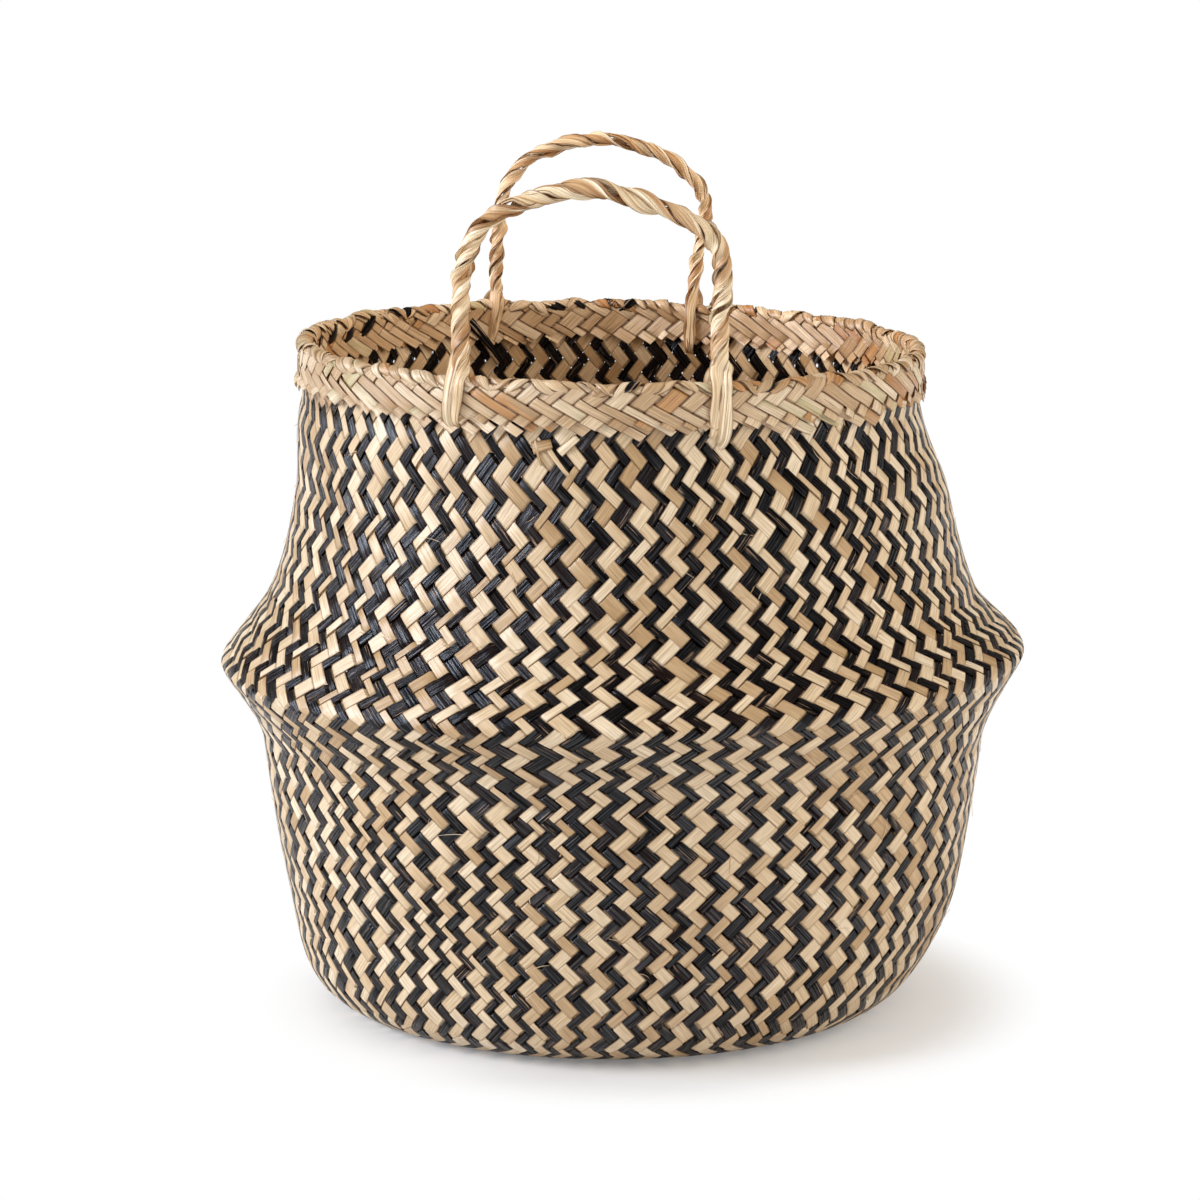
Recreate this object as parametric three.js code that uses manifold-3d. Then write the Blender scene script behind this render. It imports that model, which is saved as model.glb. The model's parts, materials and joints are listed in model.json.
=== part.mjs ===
// A plaited belly basket: a woven floor, a heel that turns up into the lower wall, a folded
// belly, an upper wall, a rim band bound over the wall's top edge, and two carrying handles whose
// plaits straddle the rim.
// Millimetres, +Z up. The floor is z = 0 and the body's axis is x = 0, y = 0.
import * as THREE from 'three';
import { mergeVertices } from 'three/addons/utils/BufferGeometryUtils.js';
import Module from 'manifold-3d';

// Heights and outer radii of the body, from the floor up
const flatRadius = 112;
const lowerFootRadius = 155;
const lowerFootHeight = 40;
const lowerTopRadius = 170.5;
const lowerTopHeight = 128;
const crestRadius = 190;
const crestHeight = 167;
const upperFootRadius = 166.5;
const upperFootHeight = 198;
const neckRadius = 144.5;
const rimHeight = 314;

// Woven wall, rim band and the clearance that neighbouring pieces keep
const wallThickness = 2.6;
const bandThickness = 1.7;
const bandHeight = 25;
const clearance = 0.3;
const cutOverrun = 4;

// Relief of the plaited wall, drawn coarser than its strips: high and low points take turns
const weaveRelief = 1.2;

// The body leans a little, as hand work does: mouth and foot stand to the left of the belly
const mouthLean = 5.3;
const footLean = 5.3;
const footLeanHeight = 60;
const mouthLeanStart = 245;
const mouthLeanEnd = 284;

// Plaited handles: the rope, and the flattened loops that bind each leg to the rim
const ropeDiameter = 9.4;
const rootWidth = 8;
const rootThickness = 3.2;
const frontRootSpan = 113;
const frontShoulderSpan = 120;
const frontRise = 83.5;
const backRootSpan = 98;
const backShoulderSpan = 102;
const backRise = 80;
// Directions round the mouth that the handles face, in degrees, and how far each is turned off it
const handles = [
  {
    side: 'front', facing: -90, turn: -3.9,
    rootSpan: frontRootSpan, shoulderSpan: frontShoulderSpan, rise: frontRise,
  },
  {
    side: 'back', facing: 90, turn: 3.1,
    rootSpan: backRootSpan, shoulderSpan: backShoulderSpan, rise: backRise,
  },
];
// Share of a handle's rise at which its legs end and its arch starts
const legRiseShare = 0.38;

// Directions of the wall's outline where two sections meet, as outward run for each unit of rise,
// and how far each Bezier handle reaches, as a share of its section's rise or run
const outlineSlopes = { lowerFoot: 0.3, lowerTop: 0.1, upperFoot: -0.45, neck: -0.24 };
const reachShares = {
  heelFlat: 0.65, heelRise: 0.5, lowerStart: 0.27, lowerEnd: 0.34, flankStart: 0.34, crestEnd: 0.22,
  crestStart: 0.23, flankEnd: 0.38, upperStart: 0.27, upperEnd: 0.33,
};

// Roundness of the model
const aroundSteps = 56;
const outlineSteps = { heel: 6, lower: 5, flank: 5, upper: 5 };
const dishSteps = 2;
const ropeSides = 10;
const archPoints = 17;
const ropeSteps = 30;
const cornerSteps = 3;

const neckHeight = rimHeight - bandHeight;
const wallTopHeight = rimHeight - bandThickness - clearance;
const bandOuterRadius = neckRadius + clearance + bandThickness;
const bandInnerRadius = neckRadius - wallThickness - clearance - bandThickness;
const bandMiddleRadius = (bandOuterRadius + bandInnerRadius) / 2;
const ropeRadius = ropeDiameter / 2;
const rootTopHeight = rimHeight + clearance + rootThickness;
const pivotHeight = rootTopHeight + clearance + ropeRadius;

const materials = {
  pattern: { color: 0x6d5a44, roughness: 0.6, metalness: 0 },
  natural: { color: 0xc9a878, roughness: 0.62, metalness: 0 },
  plait: { color: 0xc7a36c, roughness: 0.65, metalness: 0 },
};

const basket = new THREE.Group();

function addPiece(name, geometry, finish, parent = basket) {
  const piece = new THREE.Mesh(geometry, new THREE.MeshStandardMaterial(materials[finish]));
  piece.name = name;
  parent.add(piece);
  return piece;
}

// Solids for cutting and joining
const wasm = await Module();
wasm.setup();

function toSolid(geometry) {
  const bare = geometry.clone();
  bare.deleteAttribute('normal');
  bare.deleteAttribute('uv');
  const welded = mergeVertices(bare);
  const vertProperties = new Float32Array(welded.attributes.position.array);
  const triVerts = new Uint32Array(welded.index.array);
  return new wasm.Manifold(new wasm.Mesh({ numProp: 3, vertProperties, triVerts }));
}

function toGeometry(solid) {
  const mesh = solid.getMesh();
  const geometry = new THREE.BufferGeometry();
  geometry.setAttribute('position', new THREE.BufferAttribute(mesh.vertProperties, mesh.numProp));
  geometry.setIndex(new THREE.BufferAttribute(mesh.triVerts, 1));
  geometry.computeVertexNormals();
  return geometry;
}

// How far the wall stands to the side at a height
function leanAt(z) {
  const foot = 1 - THREE.MathUtils.smoothstep(z, 0, footLeanHeight);
  const mouth = THREE.MathUtils.smoothstep(z, mouthLeanStart, mouthLeanEnd);
  return -footLean * foot - mouthLean * mouth;
}

// A closed outline of [radius, height] points turned round the axis, then leaned. Where rows gives
// a point a row above zero, every other step round it is a low point of the plaiting.
function turned(outline, rows = []) {
  const points = outline.map(([radius, height]) => new THREE.Vector2(radius, height));
  const geometry = new THREE.LatheGeometry(points, aroundSteps);
  geometry.rotateX(Math.PI / 2);
  const position = geometry.attributes.position;
  for (let i = 0; i < position.count; i += 1) {
    const place = i % outline.length;
    const around = (i - place) / outline.length;
    const isLow = rows[place] > 0 && (rows[place] + around) % 2 === 0;
    const share = isLow ? 1 - weaveRelief / outline[place][0] : 1;
    position.setX(i, share * position.getX(i) + leanAt(position.getZ(i)));
    position.setY(i, share * position.getY(i));
  }
  geometry.deleteAttribute('normal');
  geometry.deleteAttribute('uv');
  const welded = mergeVertices(geometry);
  welded.computeVertexNormals();
  return welded;
}

// Outer line of one section of wall, from its lower end to its upper end
function outerLine(start, startHandle, endHandle, end, steps) {
  const [a, b, c, d] = [start, startHandle, endHandle, end].map(([r, z]) => new THREE.Vector2(r, z));
  return new THREE.CubicBezierCurve(a, b, c, d).getPoints(steps).map((p) => [p.x, p.y]);
}

// The same line moved inwards by the wall's thickness; its ends are cut level, or the first square
function innerLine(line, squareStart = false) {
  return line.map(([r, z], i) => {
    const [r0, z0] = line[Math.max(i - 1, 0)];
    const [r1, z1] = line[Math.min(i + 1, line.length - 1)];
    const length = Math.hypot(r1 - r0, z1 - z0);
    const inward = wallThickness / length;
    const isLevel = (i === 0 && !squareStart) || i === line.length - 1;
    if (isLevel) return [r - (wallThickness * length) / (z1 - z0), z];
    return [r - (z1 - z0) * inward, z + (r1 - r0) * inward];
  });
}

// A ring of wall: its line up the outside and back down the inside
function wallOutline(line) {
  return [...line, ...innerLine(line).reverse(), line[0]];
}

// Rows of relief for a ring of wall: one for each point between its two plain ends
function reliefRows(line, plainEnds = 1) {
  const rows = line.map((point, i) => (i < line.length - plainEnds ? i : 0));
  return [...rows, ...[...rows].reverse(), 0];
}

// Lift the first point and lower the last, so that stacked rings keep their clearance
function trimmed(line, atFoot, atTop) {
  const first = line[0];
  const last = line[line.length - 1];
  const foot = [first[0], first[1] + (atFoot ? clearance / 2 : 0)];
  const top = [last[0], last[1] - (atTop ? clearance / 2 : 0)];
  return [foot, ...line.slice(1, -1), top];
}

// Outer and inner lines of the base's edge, from the flat of the floor round and up to the wall
function edgeLines() {
  const run = lowerFootRadius - flatRadius;
  const line = outerLine(
    [flatRadius, 0],
    [flatRadius + reachShares.heelFlat * run, 0],
    [
      lowerFootRadius - outlineSlopes.lowerFoot * reachShares.heelRise * lowerFootHeight,
      lowerFootHeight * (1 - reachShares.heelRise),
    ],
    [lowerFootRadius, lowerFootHeight],
    outlineSteps.heel,
  );
  const outside = trimmed(line, false, true);
  return [outside, innerLine(outside, true)];
}

// A point moved half a clearance towards the next one
function eased(point, next) {
  const share = clearance / 2 / Math.hypot(next[0] - point[0], next[1] - point[1]);
  return point.map((value, i) => value + share * (next[i] - value));
}

// Floor: the flat of the base and the first, shallow part of its edge
function floorGeometry() {
  const [outside, inside] = edgeLines().map((line) => {
    const rim = eased(line[dishSteps], line[dishSteps - 1]);
    return [...line.slice(0, dishSteps), rim];
  });
  return turned([[0, 0], ...outside, ...inside.reverse(), [0, wallThickness]]);
}

// Heel: the rest of the base's edge, which turns up into the wall
function heelGeometry() {
  const [outside, inside] = edgeLines().map((line) => {
    const foot = eased(line[dishSteps], line[dishSteps + 1]);
    return [foot, ...line.slice(dishSteps + 1)];
  });
  return turned([...outside, ...inside.reverse(), outside[0]]);
}

function lowerWallGeometry() {
  const rise = lowerTopHeight - lowerFootHeight;
  const startReach = reachShares.lowerStart * rise;
  const endReach = reachShares.lowerEnd * rise;
  const line = trimmed(outerLine(
    [lowerFootRadius, lowerFootHeight],
    [lowerFootRadius + outlineSlopes.lowerFoot * startReach, lowerFootHeight + startReach],
    [lowerTopRadius - outlineSlopes.lowerTop * endReach, lowerTopHeight - endReach],
    [lowerTopRadius, lowerTopHeight],
    outlineSteps.lower,
  ), true, true);
  return turned(wallOutline(line), reliefRows(line));
}

// Belly: two flanks that meet at the crest
function bellyGeometry() {
  const lowerRise = crestHeight - lowerTopHeight;
  const upperRise = upperFootHeight - crestHeight;
  const lowerReach = reachShares.flankStart * lowerRise;
  const upperReach = reachShares.flankEnd * upperRise;
  const lowerFlank = outerLine(
    [lowerTopRadius, lowerTopHeight],
    [lowerTopRadius + outlineSlopes.lowerTop * lowerReach, lowerTopHeight + lowerReach],
    [crestRadius, crestHeight - reachShares.crestEnd * lowerRise],
    [crestRadius, crestHeight],
    outlineSteps.flank,
  );
  const upperFlank = outerLine(
    [crestRadius, crestHeight],
    [crestRadius, crestHeight + reachShares.crestStart * upperRise],
    [upperFootRadius - outlineSlopes.upperFoot * upperReach, upperFootHeight - upperReach],
    [upperFootRadius, upperFootHeight],
    outlineSteps.flank,
  );
  const line = trimmed([...lowerFlank, ...upperFlank.slice(1)], true, true);
  return turned(wallOutline(line), reliefRows(line));
}

// Where each leg of a handle meets the rim, as an angle about the mouth's axis
function legAngles({ facing, turn, rootSpan }) {
  const half = Math.asin(rootSpan / 2 / bandMiddleRadius) * Math.sign(facing);
  const middle = THREE.MathUtils.degToRad(facing + turn);
  return { left: middle + half, right: middle - half };
}

// Upper wall: narrows to the neck, stands straight behind the rim band, and has a slot under
// the band for each of the loops that bind the handles
function upperWallGeometry() {
  const rise = neckHeight - upperFootHeight;
  const startReach = reachShares.upperStart * rise;
  const endReach = reachShares.upperEnd * rise;
  const line = outerLine(
    [upperFootRadius, upperFootHeight],
    [upperFootRadius + outlineSlopes.upperFoot * startReach, upperFootHeight + startReach],
    [neckRadius - outlineSlopes.neck * endReach, neckHeight - endReach],
    [neckRadius, neckHeight],
    outlineSteps.upper,
  );
  const whole = [...trimmed(line, true, false), [neckRadius, wallTopHeight]];
  const underBand = 2;
  let wall = toSolid(turned(wallOutline(whole), reliefRows(whole, underBand)));
  for (const handle of handles) {
    for (const angle of Object.values(legAngles(handle))) {
      wall = wall.subtract(slotSolid(angle));
    }
  }
  return toGeometry(wall);
}

// Room for one binding loop through the wall, just under the band
function slotSolid(angle) {
  const depth = wallThickness + 2 * cutOverrun;
  const width = rootWidth + 2 * clearance;
  const height = rootThickness + 2 * clearance;
  const box = new THREE.BoxGeometry(depth, width, height);
  box.translate(neckRadius - wallThickness / 2, 0, neckHeight - clearance - rootThickness / 2);
  box.rotateZ(angle);
  box.translate(-mouthLean, 0, 0);
  return toSolid(box);
}

// Rim band: one folded strip that covers the wall's top edge, outside and inside
function rimBandGeometry() {
  const soft = bandThickness / 2;
  const wallOutside = neckRadius + clearance;
  const wallInside = neckRadius - wallThickness - clearance;
  const foldHeight = rimHeight - bandThickness;
  const outline = [
    [bandOuterRadius, neckHeight],
    [bandOuterRadius, rimHeight - soft],
    [bandOuterRadius - soft, rimHeight],
    [bandInnerRadius + soft, rimHeight],
    [bandInnerRadius, rimHeight - soft],
    [bandInnerRadius, neckHeight],
    [wallInside, neckHeight],
    [wallInside, foldHeight],
    [wallOutside, foldHeight],
    [wallOutside, neckHeight],
  ];
  return turned([...outline, outline[0]]);
}

// A rounded rectangle about a middle point, as a path or a hole
function roundedBox(path, low, high, corner) {
  const [x0, y0] = low;
  const [x1, y1] = high;
  path.moveTo(x0 + corner, y0);
  path.lineTo(x1 - corner, y0);
  path.absarc(x1 - corner, y0 + corner, corner, -Math.PI / 2, 0);
  path.lineTo(x1, y1 - corner);
  path.absarc(x1 - corner, y1 - corner, corner, 0, Math.PI / 2);
  path.lineTo(x0 + corner, y1);
  path.absarc(x0 + corner, y1 - corner, corner, Math.PI / 2, Math.PI);
  path.lineTo(x0, y0 + corner);
  path.absarc(x0 + corner, y0 + corner, corner, Math.PI, 1.5 * Math.PI);
  return path;
}

// Binding loop of one leg: up the outside of the band, over the rim, down the inside and through
// the wall; it is drawn along the radius and given its width along the rim
function rootLoopGeometry() {
  const innerLow = [bandInnerRadius - clearance, neckHeight - clearance];
  const innerHigh = [bandOuterRadius + clearance, rimHeight + clearance];
  const outerLow = innerLow.map((value) => value - rootThickness);
  const outerHigh = innerHigh.map((value) => value + rootThickness);
  const shape = roundedBox(new THREE.Shape(), outerLow, outerHigh, rootThickness / 2);
  shape.holes.push(roundedBox(new THREE.Path(), innerLow, innerHigh, clearance / 2));
  const geometry = new THREE.ExtrudeGeometry(shape, {
    depth: rootWidth, bevelEnabled: false, curveSegments: cornerSteps,
  });
  geometry.translate(0, 0, -rootWidth / 2);
  geometry.rotateX(Math.PI / 2);
  return geometry;
}

// Middle line of a handle in its own plane, from one pivot up over the arch to the other
function handleLine({ rootSpan, shoulderSpan, rise }) {
  const shoulderHeight = rimHeight + legRiseShare * rise;
  const archHeight = rise * (1 - legRiseShare);
  const points = [];
  for (let i = 0; i < archPoints; i += 1) {
    const angle = Math.PI - (Math.PI * i) / (archPoints - 1);
    const x = (shoulderSpan / 2) * Math.cos(angle);
    points.push(new THREE.Vector3(x, 0, shoulderHeight + archHeight * Math.sin(angle)));
  }
  const left = new THREE.Vector3(-rootSpan / 2, 0, pivotHeight);
  const right = new THREE.Vector3(rootSpan / 2, 0, pivotHeight);
  return new THREE.CatmullRomCurve3([left, ...points, right]);
}

// A handle: a round rope along its line, with a ball at each pivot
function handleGeometry(handle) {
  const section = new THREE.Shape();
  for (let i = 0; i < ropeSides; i += 1) {
    const angle = (2 * Math.PI * i) / ropeSides;
    const corner = [ropeRadius * Math.cos(angle), ropeRadius * Math.sin(angle)];
    if (i === 0) section.moveTo(...corner);
    else section.lineTo(...corner);
  }
  const rope = new THREE.ExtrudeGeometry(section, {
    steps: ropeSteps, extrudePath: handleLine(handle), bevelEnabled: false,
  });
  let solid = toSolid(rope);
  for (const end of [-1, 1]) {
    const ball = new THREE.SphereGeometry(ropeRadius, ropeSides, ropeSides / 2);
    ball.rotateX(Math.PI / 2);
    ball.translate((end * handle.rootSpan) / 2, 0, pivotHeight);
    solid = solid.add(toSolid(ball));
  }
  return toGeometry(solid);
}

addPiece('base_floor', floorGeometry(), 'pattern');
addPiece('heel_turn', heelGeometry(), 'pattern');
addPiece('lower_wall', lowerWallGeometry(), 'pattern');
addPiece('belly_fold', bellyGeometry(), 'pattern');
addPiece('upper_wall', upperWallGeometry(), 'pattern');
addPiece('rim_band', rimBandGeometry(), 'natural');

// The mouth's own axis carries the handles and the loops that bind them
const mouth = new THREE.Group();
mouth.position.x = -mouthLean;
basket.add(mouth);

for (const handle of handles) {
  for (const [hand, angle] of Object.entries(legAngles(handle))) {
    const loop = addPiece(`${handle.side}_handle_loop_${hand}`, rootLoopGeometry(), 'plait', mouth);
    loop.rotation.z = angle;
  }
  const chordRadius = Math.sqrt(bandMiddleRadius ** 2 - (handle.rootSpan / 2) ** 2);
  const middle = THREE.MathUtils.degToRad(handle.facing + handle.turn);
  const rope = addPiece(`${handle.side}_handle`, handleGeometry(handle), 'plait', mouth);
  rope.rotation.z = middle + Math.PI / 2;
  rope.position.set(chordRadius * Math.cos(middle), chordRadius * Math.sin(middle), 0);
}

export default basket;
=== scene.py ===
"""A belly basket plaited from natural and black sedge strips, with a natural rim and two plaited handles.

Metres, +Z up, the basket standing on z = 0 with its front handle towards -Y.
"""

import json
import math
from dataclasses import dataclass

import bpy
import numpy as np
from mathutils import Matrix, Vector


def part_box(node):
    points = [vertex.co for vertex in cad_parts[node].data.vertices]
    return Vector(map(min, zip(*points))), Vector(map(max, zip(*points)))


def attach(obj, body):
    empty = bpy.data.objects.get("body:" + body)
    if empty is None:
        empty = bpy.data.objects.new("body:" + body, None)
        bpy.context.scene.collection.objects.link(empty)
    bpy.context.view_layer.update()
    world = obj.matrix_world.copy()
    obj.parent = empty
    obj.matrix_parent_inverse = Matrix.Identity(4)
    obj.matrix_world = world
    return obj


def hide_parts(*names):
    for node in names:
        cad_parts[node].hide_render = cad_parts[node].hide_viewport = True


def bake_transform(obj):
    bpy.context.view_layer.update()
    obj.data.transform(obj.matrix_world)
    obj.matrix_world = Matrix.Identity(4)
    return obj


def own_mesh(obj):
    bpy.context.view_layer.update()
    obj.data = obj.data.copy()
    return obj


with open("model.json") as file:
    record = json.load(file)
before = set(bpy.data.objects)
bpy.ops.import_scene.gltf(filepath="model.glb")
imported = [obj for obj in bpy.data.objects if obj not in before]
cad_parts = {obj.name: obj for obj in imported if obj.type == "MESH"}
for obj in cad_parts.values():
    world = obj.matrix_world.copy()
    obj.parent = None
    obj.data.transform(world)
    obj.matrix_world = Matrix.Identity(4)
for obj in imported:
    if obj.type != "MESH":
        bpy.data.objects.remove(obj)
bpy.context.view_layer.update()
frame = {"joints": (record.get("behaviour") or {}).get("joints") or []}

MM = 0.001
TURN = 2 * math.pi


def spans(node):
    """A ring's outer radius, and the heights of its foot and top."""
    low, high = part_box(node)
    return (high.y - low.y) / 2, low.z, high.z


# Sizes that the frame gives
CLEARANCE = 0.3 * MM
FOOT_RADIUS, _, FOOT_HEIGHT = spans("heel_turn")
LOWER_TOP_RADIUS, _, LOWER_TOP_HEIGHT = spans("lower_wall")
CREST_RADIUS, _, _ = spans("belly_fold")
UPPER_FOOT_RADIUS, UPPER_FOOT_HEIGHT, WALL_TOP_HEIGHT = spans("upper_wall")
BAND_RADIUS, NECK_HEIGHT, RIM_HEIGHT = spans("rim_band")
FOOT_HEIGHT += CLEARANCE / 2
LOWER_TOP_HEIGHT += CLEARANCE / 2
UPPER_FOOT_HEIGHT -= CLEARANCE / 2

# Sizes of the outline that no box gives
FLAT_RADIUS = 112 * MM
WALL_THICKNESS = 2.6 * MM
CREST_HEIGHT = 167 * MM
BAND_THICKNESS = 1.7 * MM
NECK_RADIUS = BAND_RADIUS - CLEARANCE - BAND_THICKNESS

# The wall's slope where its rings meet: how far it runs outwards for each length that it rises
FOOT_SLOPE = 0.3
LOWER_TOP_SLOPE = 0.1
UPPER_FOOT_SLOPE = -0.45
NECK_SLOPE = -0.24

# How far the curve between two rings keeps to the slope of its foot and of its top
HEEL_HOLD_SHARES = (0.67, 0.5)
LOWER_HOLD_SHARES = (0.27, 0.34)
FLANK_HOLD_SHARES = (0.34, 0.12)
SHOULDER_HOLD_SHARES = (0.17, 0.38)
UPPER_HOLD_SHARES = (0.27, 0.33)
# How far the flank leans outwards in the stretch that it keeps to its top's slope
CREST_RUN = 1.2 * MM

# The hand-made lean of foot and mouth, the tilt of crest and rim, and the wall's dents
LEAN = 5.3 * MM
FOOT_LEAN_HEIGHT = 60 * MM
MOUTH_LEAN_START = 245 * MM
MOUTH_LEAN_END = 284 * MM
CREST_TILT = 0.0184
RIM_TILT = 0.0157
WOBBLE = 1.0 * MM
DENT_RISE = 50 * MM
DENT_START = 5 * MM
DENT_FULL = 60 * MM
DENT_END = 30 * MM
# Waves round the wall, how much they lean with the height, where they start, and their share
DENTS = ((3, 0.7, 0.4, 0.5), (5, 1.3, 2.1, 0.35), (11, 2.9, 1.2, 0.25))

# Plaited sheet: strips each way, their width and thickness, and how the pattern sits
STRIPS = 136
SIDES = 4
PER_SIDE = STRIPS // SIDES
FIRST_STRIP_ANGLE = -0.75 * math.pi
STRIP_WIDTH = 5.3 * MM
STRIP_THICKNESS = 0.62 * MM
STRIP_CROWN = 0.12 * MM
STRIP_TILT = 0.1 * MM
BACK_CROWN_SHARE = 0.6
FLOAT_HEIGHT = 0.64 * MM
FLOAT_EDGE = 0.13
NATURAL_SHARE = 1.1
BLACK_SHARE = 0.9
WIDTH_SPREAD = 0.26
WIDEST_CHANCE = 1.8
STRIP_FILL = 0.965
STRIP_SLACK = 0.12
SHEET_MIDDLE = WALL_THICKNESS / 2
SQUARE_MIDDLE_SHARE = 0.15
SHORTEST_FLOOR_STRIP = 0.4
CURL_ROWS = 1.6
LEAST_CURL = 0.3
# How far apart strips lie in their finish, so that no two show the same marks
FINISH_STEP = 7.3
TINY = 1e-6
SEED = 27


def bezier(start, start_handle, end_handle, end, steps):
    """Points of a cubic Bezier curve, each a radius and a height."""
    t = np.linspace(0, 1, steps + 1)[:, None]
    a, b, c, d = (np.array(p, float) for p in (start, start_handle, end_handle, end))
    return (1 - t) ** 3 * a + 3 * t * (1 - t) ** 2 * b + 3 * t * t * (1 - t) * c + t**3 * d


def slid(point, slope, rise):
    return point[0] + slope * rise, point[1] + rise


def wall_curve(low, low_slope, high, high_slope, hold_shares, steps):
    """The curve that leaves one ring edge at its slope and reaches the next at that one's."""
    first, last = (share * (high[1] - low[1]) for share in hold_shares)
    return bezier(low, slid(low, low_slope, first), slid(high, high_slope, -last), high, steps)


def body_outline():
    """The wall's outer line from the floor's middle to the top, as radius and height."""
    edge = (FLAT_RADIUS, 0)
    foot = (FOOT_RADIUS, FOOT_HEIGHT)
    lower_top = (LOWER_TOP_RADIUS, LOWER_TOP_HEIGHT)
    crest = (CREST_RADIUS, CREST_HEIGHT)
    upper_foot = (UPPER_FOOT_RADIUS, UPPER_FOOT_HEIGHT)
    neck = (NECK_RADIUS, NECK_HEIGHT)
    top = (NECK_RADIUS, WALL_TOP_HEIGHT)
    heel_low = (FLAT_RADIUS + HEEL_HOLD_SHARES[0] * (FOOT_RADIUS - FLAT_RADIUS), 0)
    heel_high = slid(foot, FOOT_SLOPE, -HEEL_HOLD_SHARES[1] * FOOT_HEIGHT)
    flank_slope = CREST_RUN / (FLANK_HOLD_SHARES[1] * (CREST_HEIGHT - LOWER_TOP_HEIGHT))
    curves = [
        bezier((0, 0), (FLAT_RADIUS / 3, 0), (2 * FLAT_RADIUS / 3, 0), edge, 12),
        bezier(edge, heel_low, heel_high, foot, 14),
        wall_curve(foot, FOOT_SLOPE, lower_top, LOWER_TOP_SLOPE, LOWER_HOLD_SHARES, 16),
        wall_curve(lower_top, LOWER_TOP_SLOPE, crest, flank_slope, FLANK_HOLD_SHARES, 12),
        wall_curve(crest, 0, upper_foot, UPPER_FOOT_SLOPE, SHOULDER_HOLD_SHARES, 12),
        wall_curve(upper_foot, UPPER_FOOT_SLOPE, neck, NECK_SLOPE, UPPER_HOLD_SHARES, 18),
        bezier(neck, slid(neck, 0, BAND_THICKNESS), slid(top, 0, -BAND_THICKNESS), top, 5),
    ]
    return np.concatenate([curves[0]] + [curve[1:] for curve in curves[1:]])


def moved_inwards(line, depth):
    """A line of radii and heights moved towards the inside of the basket."""
    along = np.gradient(line, axis=0)
    along /= np.linalg.norm(along, axis=1)[:, None]
    inwards = np.stack([-along[:, 1], along[:, 0]], axis=1)
    return line + depth * inwards


def lengths_along(line):
    return np.concatenate([[0], np.cumsum(np.linalg.norm(np.diff(line, axis=0), axis=1))])


class Sheet:
    """A plaited sheet wrapped on a line: where its rows of crossings lie."""

    def __init__(self, line, start_length, strips, strip_width, slant=0.0):
        self.line = line
        self.strips = strips
        self.slant = slant
        self.lengths = lengths_along(line)
        fine = np.linspace(start_length, self.lengths[-1], 1500)
        radius = np.interp(fine, self.lengths, line[:, 0])
        spacing = TURN * radius / strips
        row_height = spacing * strip_width / (2 * np.sqrt(spacing**2 - strip_width**2))
        steps = np.diff(fine) / ((row_height[1:] + row_height[:-1]) / 2)
        self.fine = fine
        self.rows = np.concatenate([[0], np.cumsum(steps)])

    def row_at_height(self, height):
        order = np.argmax(np.interp(self.fine, self.lengths, self.line[:, 1]) >= height)
        return float(self.rows[order])

    def flat(self, row, sideways, height):
        """Row and sideways place of a point as angle, length along the line and height off it."""
        angle = math.pi * (sideways + self.slant * row) / self.strips + FIRST_STRIP_ANGLE
        return np.stack([angle, np.interp(row, self.rows, self.fine), height], axis=-1)


def smooth(value, start, end):
    t = np.clip((value - start) / (end - start), 0, 1)
    return t * t * (3 - 2 * t)


def made_by_hand(co):
    """Leans, tilts and gently dents points of the true round shape, as hand work does."""
    out = co.copy()
    x, y, z = co[:, 0], co[:, 1], co[:, 2]
    lean = 1 - smooth(z, 0, FOOT_LEAN_HEIGHT) + smooth(z, MOUTH_LEAN_START, MOUTH_LEAN_END)
    out[:, 0] -= LEAN * lean
    crest = smooth(z, LOWER_TOP_HEIGHT, CREST_HEIGHT) * (1 - smooth(z, CREST_HEIGHT, UPPER_FOOT_HEIGHT))
    rim = smooth(z, UPPER_FOOT_HEIGHT, NECK_HEIGHT)
    out[:, 2] += x * (CREST_TILT * crest - RIM_TILT * rim)
    angle = np.arctan2(y, x)
    dent = np.zeros(len(co))
    for waves, lift, phase, size in DENTS:
        dent += size * np.sin(waves * angle + lift * z / DENT_RISE + phase)
    dent *= WOBBLE * smooth(z, DENT_START, DENT_FULL) * (1 - smooth(z, NECK_HEIGHT - DENT_END, NECK_HEIGHT))
    safe = np.maximum(np.hypot(x, y), MM)
    out[:, 0] += dent * x / safe
    out[:, 1] += dent * y / safe
    return out


# Node trees


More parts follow.
